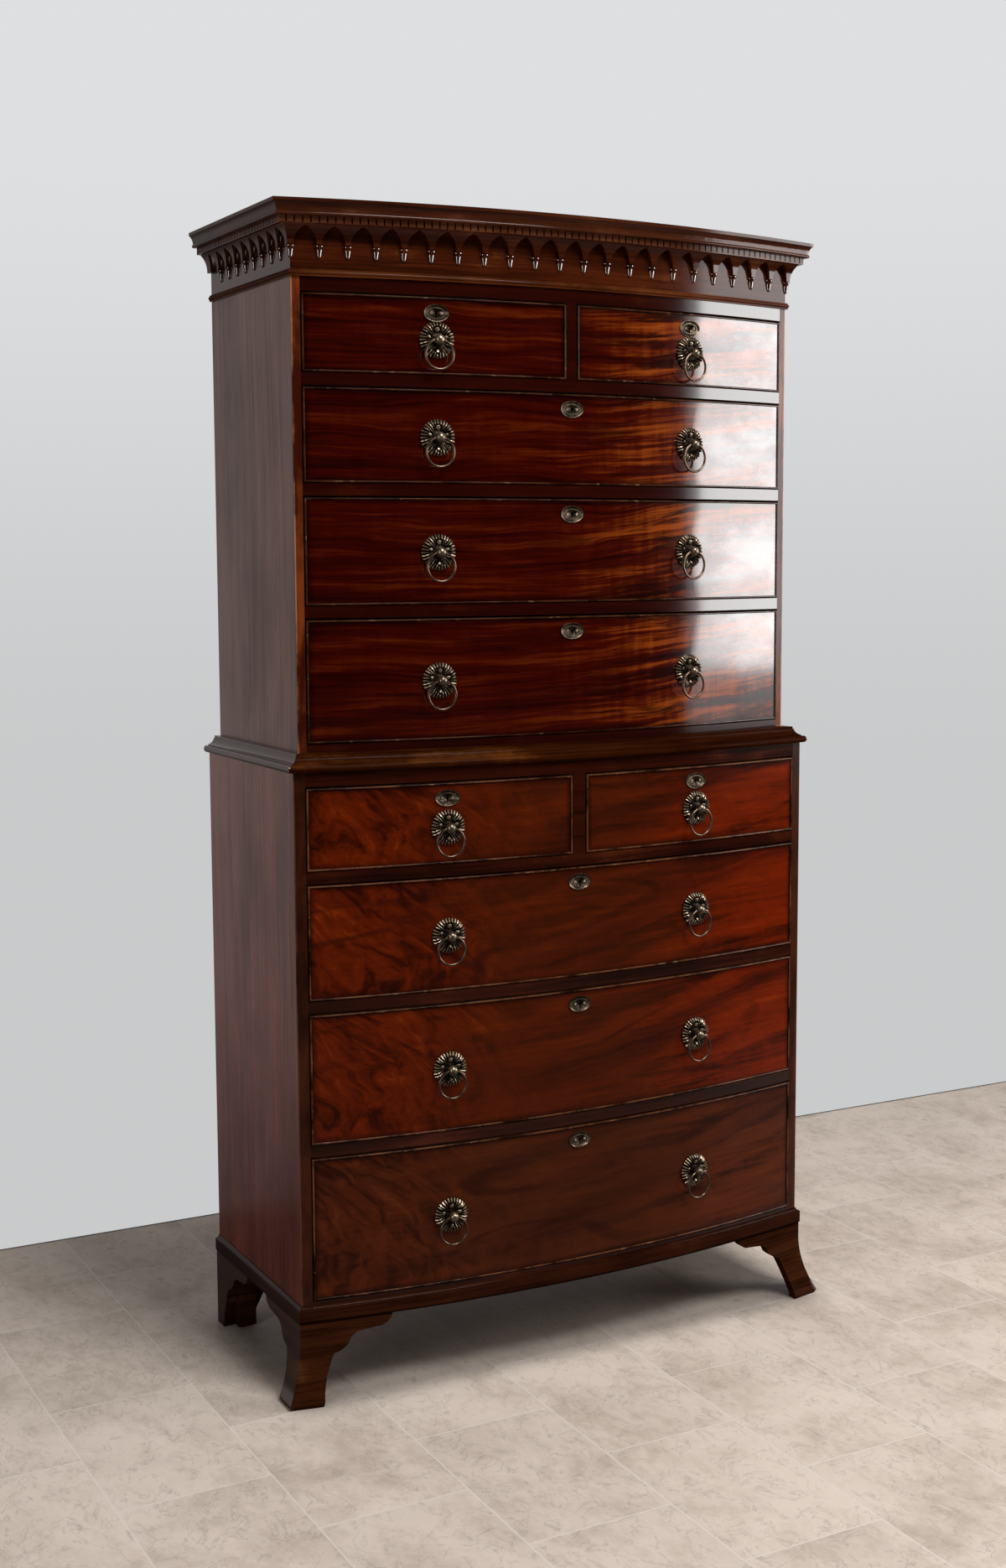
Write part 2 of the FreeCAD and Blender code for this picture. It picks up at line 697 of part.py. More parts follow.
def cornice_box():
    """Frieze boards with an astragal at their foot, a back rail, corner blocks and a dust top. The
    astragal is a bead between two fillets."""
    height = ARCADE_TOP + DENTIL_HEIGHT
    frieze = [(0, 0), (0, height), (-CORNICE_BOARD, height), (-CORNICE_BOARD, 0)]
    edge = ASTRAGAL_HEIGHT - ASTRAGAL_EDGE
    seat = (ASTRAGAL_SEAT, ASTRAGAL_FOOT)
    astragal = [
        (0, 0),
        (ASTRAGAL_FOOT_OUT, 0),
        (ASTRAGAL_FOOT_OUT, ASTRAGAL_FOOT),
        seat,
        bend(seat, (ASTRAGAL_SEAT, edge), ASTRAGAL_SEAT - ASTRAGAL_OUT),
        (ASTRAGAL_EDGE_OUT, edge),
        (ASTRAGAL_EDGE_OUT, ASTRAGAL_HEIGHT),
        (0, ASTRAGAL_HEIGHT),
    ]
    inner = UPPER.half - CORNICE_BOARD
    base = UPPER_TOP
    pieces = UPPER.moulding(raised(frieze)) + UPPER.moulding(raised(astragal))
    rail_y = BACK_Y - CORNICE_BOARD
    pieces.append(box(-inner, inner, rail_y, BACK_Y, base, base + height))
    front_y = UPPER.corner_y + CORNICE_BOARD + CORNER_BLOCK
    for side in (-1, 1):
        x0, x1 = sorted((side * inner, side * (inner - CORNER_BLOCK)))
        pieces.append(box(x0, x1, rail_y - CORNER_BLOCK, rail_y, base, base + height))
        pieces.append(UPPER.block(x0, x1, base, base + height, -CORNICE_BOARD, front_y))
    lid = base + height
    pieces.append(UPPER.block(-inner, inner, lid, lid + DUST_TOP, -CORNICE_BOARD, BACK_Y))
    return pieces


def arcade_section():
    """A coved board that hangs from the dentil course down to the pendants."""
    face = (ARCADE_OUT, ARCADE_TOP)
    foot = (ARCADE_FOOT_GAP, SPRING_HEIGHT)
    return raised([
        face,
        bend(face, (ARCADE_FOOT_GAP + ARCADE_THICK, SPRING_HEIGHT), -ARCADE_HOLLOW),
        foot,
        bend(foot, (ARCADE_OUT - ARCADE_THICK, ARCADE_TOP), ARCADE_HOLLOW),
    ])


def arch(opening, place, way):
    """A pointed arch, as the tool that cuts it through the arcade."""
    low = SPRING_HEIGHT - CUT_EXTRA
    left = (-opening / 2, low)
    right = (opening / 2, low)
    crown = (0, ARCADE_TOP - ARCH_CROWN)
    steps = raised([left, right, bend(right, crown, -ARCH_ROUND), bend(crown, left, -ARCH_ROUND)])
    return outline_face(steps, place).extrude(way)


def pendant(place):
    """A turned drop at a place on the plan, cut to lie against the frieze: a collar, a swelling and a
    tapered tip."""
    steps = [(0, 0)]
    steps += [(PENDANT_RADIUS * out, -PENDANT_LENGTH * down) for out, down in PENDANT_TURNING]
    steps.append((0, -PENDANT_LENGTH))
    face = outline_face(steps, lambda out, z: Vector(out, 0, z))
    drop = face.revolve(Vector(0, 0, 0), Vector(0, 0, 1), 360)
    drop.translate(place + Vector(0, 0, UPPER_TOP + SPRING_HEIGHT))
    return drop.cut(UPPER.block(-UPPER.half, UPPER.half, UPPER_TOP, CORNICE_TOP, 0, BACK_Y))


def front_arcade(board):
    """Arches along the bowed front, with a pendant under each leg between two of them."""
    corner = UPPER.turn(UPPER.half)
    step = 2 * corner / FRONT_ARCHES
    axis = Vector(0, UPPER.centre_y, 0)
    start = UPPER.front_y(0, 2 * ARCADE_OUT)
    opening = math.radians(step) * UPPER.radius - ARCH_LEG
    cuts = []
    drops = []
    for number in range(FRONT_ARCHES):
        tool = arch(opening, lambda s, z: Vector(s, start, z), Vector(0, 3 * ARCADE_OUT, 0))
        tool.rotate(axis, Vector(0, 0, 1), (number + 0.5) * step - corner)
        cuts.append(tool)
    for number in range(1, FRONT_ARCHES):
        drop = pendant(Vector(0, UPPER.front_y(0), 0))
        drop.rotate(axis, Vector(0, 0, 1), number * step - corner)
        drops.append(drop)
    return [board.cut(Part.makeCompound(cuts))] + drops


def side_arcade(board, side):
    """Arches along one side, with a pendant under each leg and one under the front corner."""
    pitch = (UPPER_SIDE_DEPTH - ARCADE_END) / SIDE_ARCHES
    start = side * (UPPER.half - ARCADE_OUT)
    way = Vector(side * 3 * ARCADE_OUT, 0, 0)
    cuts = []
    drops = [pendant(UPPER.mitre_point(side, 0))]
    for number in range(SIDE_ARCHES):
        y = UPPER.corner_y + (number + 0.5) * pitch
        cuts.append(arch(pitch - ARCH_LEG, lambda s, z: Vector(start, y + s, z), way))
    for number in range(1, SIDE_ARCHES):
        y = UPPER.corner_y + number * pitch
        drops.append(pendant(Vector(side * UPPER.half, y, 0)))
    return [board.cut(Part.makeCompound(cuts))] + drops


def gothic_arcade():
    """Pointed arches along the front and both sides, with a turned pendant under each leg."""
    front, left, right = UPPER.moulding(arcade_section())
    return front_arcade(front) + side_arcade(left, -1) + side_arcade(right, 1)


# ---------------------------------------------------------------- drawers

def bolt_depths():
    """How far behind the drawer's face the bolt begins and ends."""
    near = LOCK_DEPTH + BOLT_WALL
    return near, near + BOLT_THICK


def keyhole(depth):
    """A round hole with a slot under it, drawn from just before the face inwards to a depth."""
    start = Vector(0, -CUT_EXTRA, 0)
    eye = Part.makeCylinder(KEYHOLE_RADIUS, depth + CUT_EXTRA, start, Vector(0, 1, 0))
    slot = box(-KEYHOLE_SLOT / 2, KEYHOLE_SLOT / 2, -CUT_EXTRA, depth, -KEYHOLE_DROP, 0)
    return eye.fuse(slot)


def lock_screws():
    screws = []
    for side in (-1, 1):
        x = side * (LOCK_WIDTH / 2 - LOCK_SCREW_INSET)
        start = Vector(x, DRAWER_FRONT - LOCK_SCREW_LENGTH, -LOCK_HEIGHT / 2)
        screws.append(Part.makeCylinder(LOCK_SCREW_RADIUS, LOCK_SCREW_LENGTH, start, Vector(0, 1, 0)))
    return screws


def lock_pocket():
    """The room that the lock takes in the drawer front, with its top at the origin."""
    half = LOCK_WIDTH / 2
    return box(-half, half, LOCK_DEPTH, DRAWER_FRONT + BEAD, -LOCK_HEIGHT, CUT_EXTRA)


def lock_case():
    """The lock, with the channel for its bolt, holes for its screws and a keyhole."""
    near, far = bolt_depths()
    half = BOLT_WIDTH / 2 + BOLT_GAP
    body = box(-LOCK_WIDTH / 2, LOCK_WIDTH / 2, LOCK_DEPTH, DRAWER_FRONT, -LOCK_HEIGHT, 0)
    channel = box(-half, half, near - BOLT_GAP, far + BOLT_GAP, -BOLT_HEIGHT - BOLT_GAP, CUT_EXTRA)
    hole = keyhole(near)
    hole.translate(Vector(0, 0, -LOCK_DROP))
    return body.cut(channel).cut(hole).cut(Part.makeCompound(lock_screws()))


def lock_bolt():
    near, far = bolt_depths()
    return box(-BOLT_WIDTH / 2, BOLT_WIDTH / 2, near, far, -BOLT_HEIGHT, 0)


def drawer_front(row):
    """A bowed front, rebated all round for the cock bead, and cut for the lock and the pulls."""
    case = row.case
    core = case.slab(row.x0, row.x1, row.bottom, row.top, -BEAD_DEPTH, -DRAWER_FRONT)
    face = case.slab(row.x0 + BEAD, row.x1 - BEAD, row.bottom + BEAD, row.top - BEAD, 0, -BEAD_DEPTH)
    front = core.fuse(face).removeSplitter()
    cuts = [case.on_front(lock_pocket(), row.lock_x, row.top)]
    cuts.append(case.on_front(keyhole(DRAWER_FRONT), row.lock_x, row.top - LOCK_DROP))
    cuts += [case.on_front(screw, row.lock_x, row.top) for screw in lock_screws()]
    for x in row.pulls.values():
        start = Vector(0, -DRAWER_FRONT / 2, 0)
        hole = Part.makeCylinder(POST_RADIUS, 2 * DRAWER_FRONT, start, Vector(0, 1, 0))
        cuts.append(case.on_front(hole, x, row.pull_z))
    return front.cut(cuts[0]).cut(Part.makeCompound(cuts[1:]))


def level_bead(case, z):
    """A bead strip along the bow: a section with a rounded nose."""
    nose = BEAD_PROUD - BEAD_ROUND
    low = (nose, z)
    high = (nose, z + BEAD)
    return case.bowed_run([(-BEAD_DEPTH, z), low, bend(low, high, -BEAD_ROUND), (-BEAD_DEPTH, z + BEAD)])


def upright_bead(case, x, z0, z1):
    """A bead strip up one edge: the same section, lying in the plan."""
    nose = BEAD_PROUD - BEAD_ROUND
    left = (x, nose)
    right = (x + BEAD, nose)
    back = (x + BEAD / 2, -BEAD_DEPTH, x + BEAD, -BEAD_DEPTH)
    steps = [(x, -BEAD_DEPTH), back, right, bend(right, left, -BEAD_ROUND)]
    face = outline_face(steps, lambda at, out: Vector(at, case.front_y(at, out), z0))
    return face.extrude(Vector(0, 0, z1 - z0))


def cock_beads(row):
    """Four strips around the front's edge, rounded, a little proud of it and mitred at the corners."""
    case = row.case
    outer = [(row.x0, row.bottom), (row.x1, row.bottom), (row.x1, row.top), (row.x0, row.top)]
    inner = [
        (row.x0 + BEAD, row.bottom + BEAD),
        (row.x1 - BEAD, row.bottom + BEAD),
        (row.x1 - BEAD, row.top - BEAD),
        (row.x0 + BEAD, row.top - BEAD),
    ]
    strips = [
        level_bead(case, row.bottom),
        upright_bead(case, row.x1 - BEAD, row.bottom, row.top),
        level_bead(case, row.top - BEAD),
        upright_bead(case, row.x0, row.bottom, row.top),
    ]
    ahead = case.front_y(0, 2 * BEAD_PROUD)
    beads = []
    for number, strip in enumerate(strips):
        after = (number + 1) % len(strips)
        corners = [outer[number], outer[after], inner[after], inner[number]]
        face = outline_face(corners, lambda x, z: Vector(x, ahead, z))
        beads.append(strip.common(face.extrude(Vector(0, case.side_depth, 0))))
    return beads


def drawer_box(row):
    """Sides, back, bottom and the slips under its edges, behind the bowed front."""
    case = row.case
    back_y = row.back_y
    x_left = row.x0 + DRAWER_SIDE
    x_right = row.x1 - DRAWER_SIDE
    rim = row.top - DRAWER_SIDE_DROP
    floor = row.run + DRAWER_BOTTOM_RISE
    floor_top = floor + DRAWER_BOTTOM
    pieces = [case.block(row.x0, x_left, row.run, rim, -DRAWER_FRONT, back_y)]
    pieces.append(case.block(x_right, row.x1, row.run, rim, -DRAWER_FRONT, back_y))
    pieces.append(box(x_left, x_right, back_y - DRAWER_SIDE, back_y, floor_top, row.top - DRAWER_BACK_DROP))
    pieces.append(case.block(x_left, x_left + SLIP_WIDTH, row.run, floor, -DRAWER_FRONT, back_y))
    pieces.append(case.block(x_right - SLIP_WIDTH, x_right, row.run, floor, -DRAWER_FRONT, back_y))
    if not row.is_long:
        pieces.append(case.block(x_left, x_right, floor, floor_top, -DRAWER_FRONT, back_y))
        return pieces
    half = MUNTIN_WIDTH / 2
    pieces.append(case.block(x_left, -half, floor, floor_top, -DRAWER_FRONT, back_y))
    pieces.append(case.block(half, x_right, floor, floor_top, -DRAWER_FRONT, back_y))
    pieces.append(case.block(-half, half, floor - MUNTIN_EXTRA, floor_top, -DRAWER_FRONT, back_y))
    return pieces


def drawer(row):
    return [drawer_front(row)] + cock_beads(row) + drawer_box(row)


# ---------------------------------------------------------------- brass

def oval(width, height, thick):
    """A flat oval that stands on the face, drawn at the origin."""
    ellipse = Part.Ellipse(Vector(0, 0, 0), width / 2, height / 2)
    face = Part.Face(Part.Wire(ellipse.toShape()))
    face.rotate(Vector(0, 0, 0), Vector(1, 0, 0), 90)
    return face.extrude(Vector(0, -thick, 0))


def escutcheon():
    """An oval plate with a raised rim and a keyhole."""
    rim = oval(ESCUTCHEON_WIDTH, ESCUTCHEON_HEIGHT, ESCUTCHEON_RIM)
    lip = 2 * ESCUTCHEON_RIM_WIDTH
    well = oval(ESCUTCHEON_WIDTH - lip, ESCUTCHEON_HEIGHT - lip, ESCUTCHEON_RIM)
    well.translate(Vector(0, -ESCUTCHEON_PLATE, 0))
    hole = keyhole(ESCUTCHEON_RIM + CUT_EXTRA)
    hole.translate(Vector(0, -ESCUTCHEON_RIM, 0))
    return rim.cut(well).cut(hole)


def rosette():
    """A round leafy plate: a scalloped edge, a raised crest of leaf tips and a hollow middle."""
    steps = [
        (POST_RADIUS, 0),
        (ROSETTE_RADIUS, 0),
        (ROSETTE_RADIUS, ROSETTE_EDGE),
        (ROSETTE_CREST_RADIUS, ROSETTE_CREST),
        (ROSETTE_HOLLOW_RADIUS, ROSETTE_HOLLOW),
        (POST_RADIUS, ROSETTE_SEAT),
    ]
    face = outline_face(steps, lambda out, up: Vector(out, -up, 0))
    plate = face.revolve(Vector(0, 0, 0), Vector(0, 1, 0), 360)
    notches = []
    for number in range(ROSETTE_LOBES):
        centre = Vector(ROSETTE_RADIUS + CUT_EXTRA, CUT_EXTRA, 0)
        notch = Part.makeCylinder(ROSETTE_NOTCH, 2 * ROSETTE_CREST, centre, Vector(0, -1, 0))
        notch.rotate(Vector(0, 0, 0), Vector(0, 1, 0), 360 * number / ROSETTE_LOBES)
        notches.append(notch)
    return plate.cut(Part.makeCompound(notches))


def ring_eye():
    """The hole through the boss, flared at both ends so that the ring's curve clears it."""
    narrow = RING_WIRE + RING_GAP
    edge = BOSS_RADIUS + CUT_EXTRA
    flare = narrow + RING_RADIUS - math.sqrt(RING_RADIUS ** 2 - edge ** 2)
    steps = [
        (-edge, 0),
        (edge, 0),
        (edge, flare),
        (0, narrow, -edge, flare),
    ]
    face = outline_face(steps, lambda x, up: Vector(x, 0, up))
    eye = face.revolve(Vector(0, 0, 0), Vector(1, 0, 0), 360)
    eye.translate(Vector(0, -PULL_OUT, 0))
    return eye


def pull_post():
    """A round boss on a post that runs through the rosette and the drawer front to its nut."""
    tail = DRAWER_FRONT + NUT_THICK + POST_TAIL
    post = Part.makeCylinder(POST_RADIUS, tail + PULL_OUT, Vector(0, tail, 0), Vector(0, -1, 0))
    boss = Part.makeSphere(BOSS_RADIUS, Vector(0, -PULL_OUT, 0))
    return post.fuse(boss).cut(ring_eye())


def pull_nut():
    seat = Vector(0, DRAWER_FRONT, 0)
    nut = Part.makeCylinder(NUT_RADIUS, NUT_THICK, seat, Vector(0, 1, 0))
    return nut.cut(Part.makeCylinder(POST_RADIUS, NUT_THICK, seat, Vector(0, 1, 0)))


def pull_ring():
    centre = Vector(0, -PULL_OUT, -RING_RADIUS)
    return Part.makeTorus(RING_RADIUS, RING_WIRE, centre, Vector(0, 1, 0))


def fittings(row):
    """The brass that rides on a drawer: escutcheon, lock, screws, and each pull's fixed pieces."""
    place = row.case.on_front
    pieces = [place(escutcheon(), row.lock_x, row.top - LOCK_DROP)]
    pieces.append(place(lock_case(), row.lock_x, row.top))
    pieces += [place(screw, row.lock_x, row.top) for screw in lock_screws()]
    for x in row.pulls.values():
        for shape in (rosette(), pull_post(), pull_nut()):
            pieces.append(place(shape, x, row.pull_z))
    return pieces


# ---------------------------------------------------------------- the whole piece

def ring_name(row, place):
    return row.name + ("_ring" if place == "middle" else "_ring_" + place)


def carcase_nodes():
    return {
        "lower_sides": case_sides(LOWER, LOWER_TOP),
        "lower_boards": case_boards(LOWER, LOWER_ROWS, LOWER_TOP, LOWER_DIVIDER),
        "lower_back": case_back(LOWER, LOWER_TOP),
        "lower_rails": case_rails(LOWER, LOWER_ROWS, LOWER_TOP_RAIL, LOWER_TOP, LOWER_DIVIDER),
        "waist_moulding": waist_moulding(),
        "base_moulding": base_moulding(),
        "bracket_feet": bracket_feet(),
        "upper_sides": case_sides(UPPER, UPPER_TOP),
        "upper_boards": case_boards(UPPER, UPPER_ROWS, UPPER_TOP, UPPER_DIVIDER),
        "upper_back": case_back(UPPER, UPPER_TOP),
        "upper_rails": case_rails(UPPER, UPPER_ROWS, UPPER_TOP_RAIL, UPPER_TOP, UPPER_DIVIDER),
        "crown_moulding": crown_moulding(),
        "cornice_box": cornice_box(),
        "gothic_arcade": gothic_arcade(),
    }


def drawer_nodes(row):
    nodes = {
        row.name: drawer(row),
        row.name + "_fittings": fittings(row),
        row.name + "_bolt": [row.case.on_front(lock_bolt(), row.lock_x, row.top)],
    }
    for place, x in row.pulls.items():
        nodes[ring_name(row, place)] = [row.case.on_front(pull_ring(), x, row.pull_z)]
    return nodes


def export(name, pieces):
    shape = pieces[0] if len(pieces) == 1 else Part.makeCompound(pieces)
    shape.exportStep("parts/%s.step" % name)


def build():
    os.makedirs("parts", exist_ok=True)
    nodes = carcase_nodes()
    for row in UPPER_ROWS + LOWER_ROWS:
        nodes.update(drawer_nodes(row))
    for name, pieces in nodes.items():
        export(name, pieces)
    return nodes


if __name__ == "__main__":
    build()
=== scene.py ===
"""Finishes, brass and light for a bow-front mahogany chest on chest. All sizes are in metres.

X runs to the right, the bowed front faces -Y and Z is up, as in the solids that carry the pieces.
"""

import math

import bmesh
import bpy
from mathutils import Matrix, Vector


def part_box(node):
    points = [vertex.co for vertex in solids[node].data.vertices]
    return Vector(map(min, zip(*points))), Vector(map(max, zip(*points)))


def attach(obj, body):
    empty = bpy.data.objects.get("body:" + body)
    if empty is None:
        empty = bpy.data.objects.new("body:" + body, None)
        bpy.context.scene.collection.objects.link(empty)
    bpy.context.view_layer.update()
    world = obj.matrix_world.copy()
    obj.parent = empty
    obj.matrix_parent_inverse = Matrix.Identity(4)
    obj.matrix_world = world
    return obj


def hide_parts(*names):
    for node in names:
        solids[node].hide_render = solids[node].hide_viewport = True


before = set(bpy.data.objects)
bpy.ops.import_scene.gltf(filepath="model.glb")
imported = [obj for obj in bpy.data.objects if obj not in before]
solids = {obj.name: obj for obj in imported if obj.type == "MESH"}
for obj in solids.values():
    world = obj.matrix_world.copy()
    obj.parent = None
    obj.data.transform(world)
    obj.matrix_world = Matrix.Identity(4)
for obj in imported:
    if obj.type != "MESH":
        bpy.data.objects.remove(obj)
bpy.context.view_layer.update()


# ---------------------------------------------------------------- room
# A floor of pale stone tiles in staggered columns, which ends a step behind the chest under a pale wall.
# A high soft box lights the front, a window with its veil stands to the right and a strip to the left.

floor_back = 0.842      # where the floor ends under the wall, on Y
floor_reach = 9.0
wall_lean = -0.0158     # how far the wall is turned from the chest's back, in radians
tile_wide, tile_long = 0.26, 0.40
joint_x, joint_y = -0.948, -0.008
shade_half, shade_front, shade_back = 0.56, -0.24, 0.26


class Tone:
    """A value, colour or direction inside a finish. Sums and products of it add their own nodes."""

    def __init__(self, finish, socket):
        self.finish = finish
        self.socket = socket

    def maths(self, operation, *values):
        return self.finish.node("Math", {"operation": operation}, values)

    def __add__(self, other):
        return self.maths("ADD", self, other)

    def __radd__(self, other):
        return self.maths("ADD", other, self)

    def __sub__(self, other):
        return self.maths("SUBTRACT", self, other)

    def __rsub__(self, other):
        return self.maths("SUBTRACT", other, self)

    def __mul__(self, other):
        return self.maths("MULTIPLY", self, other)

    def __rmul__(self, other):
        return self.maths("MULTIPLY", other, self)

    def __truediv__(self, other):
        return self.maths("DIVIDE", self, other)

    def __pow__(self, other):
        return self.maths("POWER", self, other)

    def __abs__(self):
        return self.maths("ABSOLUTE", self)

    def least(self, other):
        return self.maths("MINIMUM", self, other)

    def most(self, other):
        return self.maths("MAXIMUM", self, other)

    def sine(self):
        return self.maths("SINE", self)

    def part(self):
        """What is left of this past its last whole number."""
        return self.maths("FRACT", self)

    def fade(self, start, end):
        """0 where this is at start, 1 where it is at end, and smooth between them."""
        low, high, a, b = (start, end, 0.0, 1.0) if start < end else (end, start, 1.0, 0.0)
        settings = {"interpolation_type": "SMOOTHSTEP"}
        return self.finish.node("MapRange", settings, (self, low, high, a, b))


class Finish:
    """A surface made of nodes, on the coordinates of the piece that it covers."""

    def __init__(self, name, owner=None):
        self.owner = owner or bpy.data.materials.new(name)
        self.owner.use_nodes = True
        self.tree = self.owner.node_tree
        self.tree.nodes.clear()

    def node(self, kind, settings=None, values=(), output=0):
        """Adds a node: its settings first, then the values or links of its sockets."""
        made = self.tree.nodes.new("ShaderNode" + kind)
        for name, value in (settings or {}).items():
            setattr(made, name, value)
        for place, value in values.items() if isinstance(values, dict) else enumerate(values):
            if isinstance(value, Tone):
                self.tree.links.new(value.socket, made.inputs[place])
            else:
                made.inputs[place].default_value = value
        return Tone(self, made.outputs[output]) if made.outputs else made

    def place(self):
        """The point on the piece, as its three parts."""
        point = self.node("TexCoord", output="Object")
        return [self.node("SeparateXYZ", {}, (point,), part) for part in range(3)]

    def noise(self, x, y, z, detail=3.0, rough=0.55, distort=0.0):
        """A cloudy pattern about 0.5, with one blotch to a unit of each coordinate."""
        vector = self.node("CombineXYZ", {}, (x, y, z))
        return self.node("TexNoise", {}, {"Vector": vector, "Scale": 1.0, "Detail": detail,
                                          "Roughness": rough, "Distortion": distort})

    def blend(self, first, second, amount):
        """The first colour where amount is 0, the second where it is 1."""
        pair = [(*c, 1.0) if isinstance(c, tuple) else c for c in (first, second)]
        return self.node("Mix", {"data_type": "RGBA"}, {0: amount, 6: pair[0], 7: pair[1]}, 2)

    def shade(self, colour, amount):
        """The colour, darkened to black where amount is 1."""
        return self.blend(colour, (0.0, 0.0, 0.0), amount)

    def bump(self, height, depth):
        return self.node("Bump", {}, {"Height": height, "Distance": depth, "Strength": 1.0})

    def surface(self, **sockets):
        """The finished surface, with what changes over it and what is the same all over it."""
        names = {name.replace("_", " "): value for name, value in sockets.items()}
        shader = self.node("BsdfPrincipled", {}, names)
        self.node("OutputMaterial", {}, (shader,))
        return self.owner


def make_floor():
    """One flat sheet of tiles, turned with the wall."""
    mesh = bpy.data.meshes.new("floor")
    sheet = bmesh.new()
    bmesh.ops.create_grid(sheet, x_segments=1, y_segments=1, size=floor_reach)
    bmesh.ops.translate(sheet, verts=sheet.verts, vec=(0, floor_back - floor_reach, 0))
    bmesh.ops.rotate(sheet, verts=sheet.verts, cent=(0, 0, 0), matrix=Matrix.Rotation(wall_lean, 3, "Z"))
    sheet.to_mesh(mesh)
    sheet.free()
    floor = bpy.data.objects.new("floor", mesh)
    bpy.context.scene.collection.objects.link(floor)
    stone = Finish("pale_stone")
    x, y = stone.place()[:2]
    column = (x - joint_x) / tile_wide
    nth = column - column.part()
    row = (y - joint_y) / tile_long + (nth * 0.5).part()
    cell = stone.node("CombineXYZ", {}, (nth, row - row.part(), 0.0))
    tile = stone.node("TexWhiteNoise", {"noise_dimensions": "3D"}, {"Vector": cell})
    cloud = stone.noise(x * 5.0, y * 4.0, tile * 9.0, 6.0, 0.62, 0.4)
    fleck = stone.noise(x * 34.0, y * 20.0, tile * 5.0, 6.0, 0.7)
    mottle = (cloud * 0.6 + fleck * 0.4).fade(0.30, 0.60)
    colour = stone.blend((0.50, 0.41, 0.335), (0.755, 0.64, 0.55), mottle)
    vein = stone.noise(x * 16.0, y * 11.0, tile * 7.0, 5.0, 0.6, 0.8)
    line = abs(vein - 0.5).fade(0.018, 0.0)
    colour = stone.shade(colour, fleck.fade(0.56, 0.74) * 0.32 + line * 0.18 + tile * 0.06)
    across = abs(column.part() - 0.5).fade(0.4935, 0.4970)
    along = abs(row.part() - 0.5).fade(0.4957, 0.4980)
    colour = stone.blend(colour, (0.78, 0.71, 0.645), across.most(along) * 0.75)
    # A painted shadow line along the foot of the wall.
    wall_foot_shadow = (y - x * wall_lean).fade(floor_back - 0.010, floor_back - 0.006)
    colour = stone.shade(colour, wall_foot_shadow * 0.8)
    # A painted shadow darkens the floor beneath the chest, and the floor shows dimly in polished wood.
    under_x = (shade_half - abs(x)).fade(-0.05, 0.05)
    under_y = (y - shade_front).fade(-0.03, 0.06) * (shade_back - y).fade(-0.06, 0.04)
    colour = stone.shade(colour, under_x * under_y * 0.6)
    mirrored = stone.node("LightPath", output="Is Glossy Ray")
    colour = stone.shade(colour, mirrored * 0.88)
    mesh.materials.append(stone.surface(Base_Color=colour, Roughness=0.55))


def light_room():
    """What the room shows to the eye, to polish and to everything else."""
    world = bpy.data.worlds.new("room")
    bpy.context.scene.world = world
    air = Finish("room", world)
    way = air.node("TexCoord", output="Generated")
    back = air.node("SeparateXYZ", {}, (way,), 1)
    height = air.node("SeparateXYZ", {}, (way,), 2)
    eye = air.node("LightPath", output="Is Camera Ray")
    gloss = air.node("LightPath", output="Is Glossy Ray")
    wall = air.blend((0.585, 0.59, 0.595), (0.735, 0.74, 0.75), height.fade(-0.12, 0.22))
    # Polish mirrors the pale wall behind the chest, and the dark room in front of it.
    sheen = air.blend((0.002, 0.002, 0.002), (0.46, 0.42, 0.41), back.fade(0.05, 0.75))
    sheen = air.shade(sheen, height.fade(-0.10, -0.44) * 0.9)
    fill = (0.13, 0.13, 0.13)
    seen = air.blend(air.blend(fill, sheen, gloss), wall, eye)
    glow = air.node("Background", {}, (seen, 1.0))
    air.node("OutputWorld", {}, (glow,))


def soft_box(name, centre, aim, width, height, glow):
    """A lamp of an even glow, whose strength follows from its size."""
    lamp = bpy.data.lights.new(name, "AREA")
    lamp.shape = "RECTANGLE"
    lamp.size = width
    lamp.size_y = height
    lamp.energy = glow * width * height * math.pi
    holder = bpy.data.objects.new(name, lamp)
    bpy.context.scene.collection.objects.link(holder)
    way = Vector(aim) - Vector(centre)
    holder.matrix_world = Matrix.Translation(centre) @ way.to_track_quat("-Z", "Y").to_matrix().to_4x4()


make_floor()
light_room()
soft_box("window", (3.30, -1.76, 1.90), (0.3, -0.15, 1.6), 1.62, 1.66, 8.2)
soft_box("window_veil", (3.42, -1.83, 1.88), (0.3, -0.15, 1.6), 2.00, 2.10, 1.2)
soft_box("left_strip", (-3.3, -1.6, 1.7), (0, 0, 1.3), 0.35, 2.2, 10.0)
soft_box("top_wash", (0.6, -2.7, 4.3), (0, 0, 0.6), 1.8, 1.4, 20.5)


# ---------------------------------------------------------------- camera
# A long view from the left, a little above the chest's middle height, with the slight shift and roll
# of a camera held by hand.

def place_camera():
    """A lens turned right and down from its stand."""
    lens = bpy.data.cameras.new("camera")
    lens.sensor_width = 36.0
    lens.lens = 44.61
    lens.shift_x = -0.01014
    lens.shift_y = -0.01568
    camera = bpy.data.objects.new("camera", lens)
    bpy.context.scene.collection.objects.link(camera)
    yaw, pitch, roll = math.radians(28.508), math.radians(6.061), -0.0042
    camera.matrix_world = (
        Matrix.Translation((-1.7805, -3.2787, 1.5010))
        @ Matrix.Rotation(-yaw, 4, "Z")
        @ Matrix.Rotation(math.pi / 2 - pitch, 4, "X")
        @ Matrix.Rotation(roll, 4, "Z")
    )
    bpy.context.scene.camera = camera
    bpy.context.scene.view_settings.view_transform = "Standard"


place_camera()


# ---------------------------------------------------------------- case sides
# Solid mahogany boards with upright grain under an old, dulled French polish. Their bowed front edges
# show as stiles, rubbed down to an orange red by two centuries of hands.

# Each front is bowed to an arc about an upright axis: its radius, and where its axis stands on Y.
upper_bow = (2.204475, 1.998975)
lower_bow = (2.65881, 2.42731)


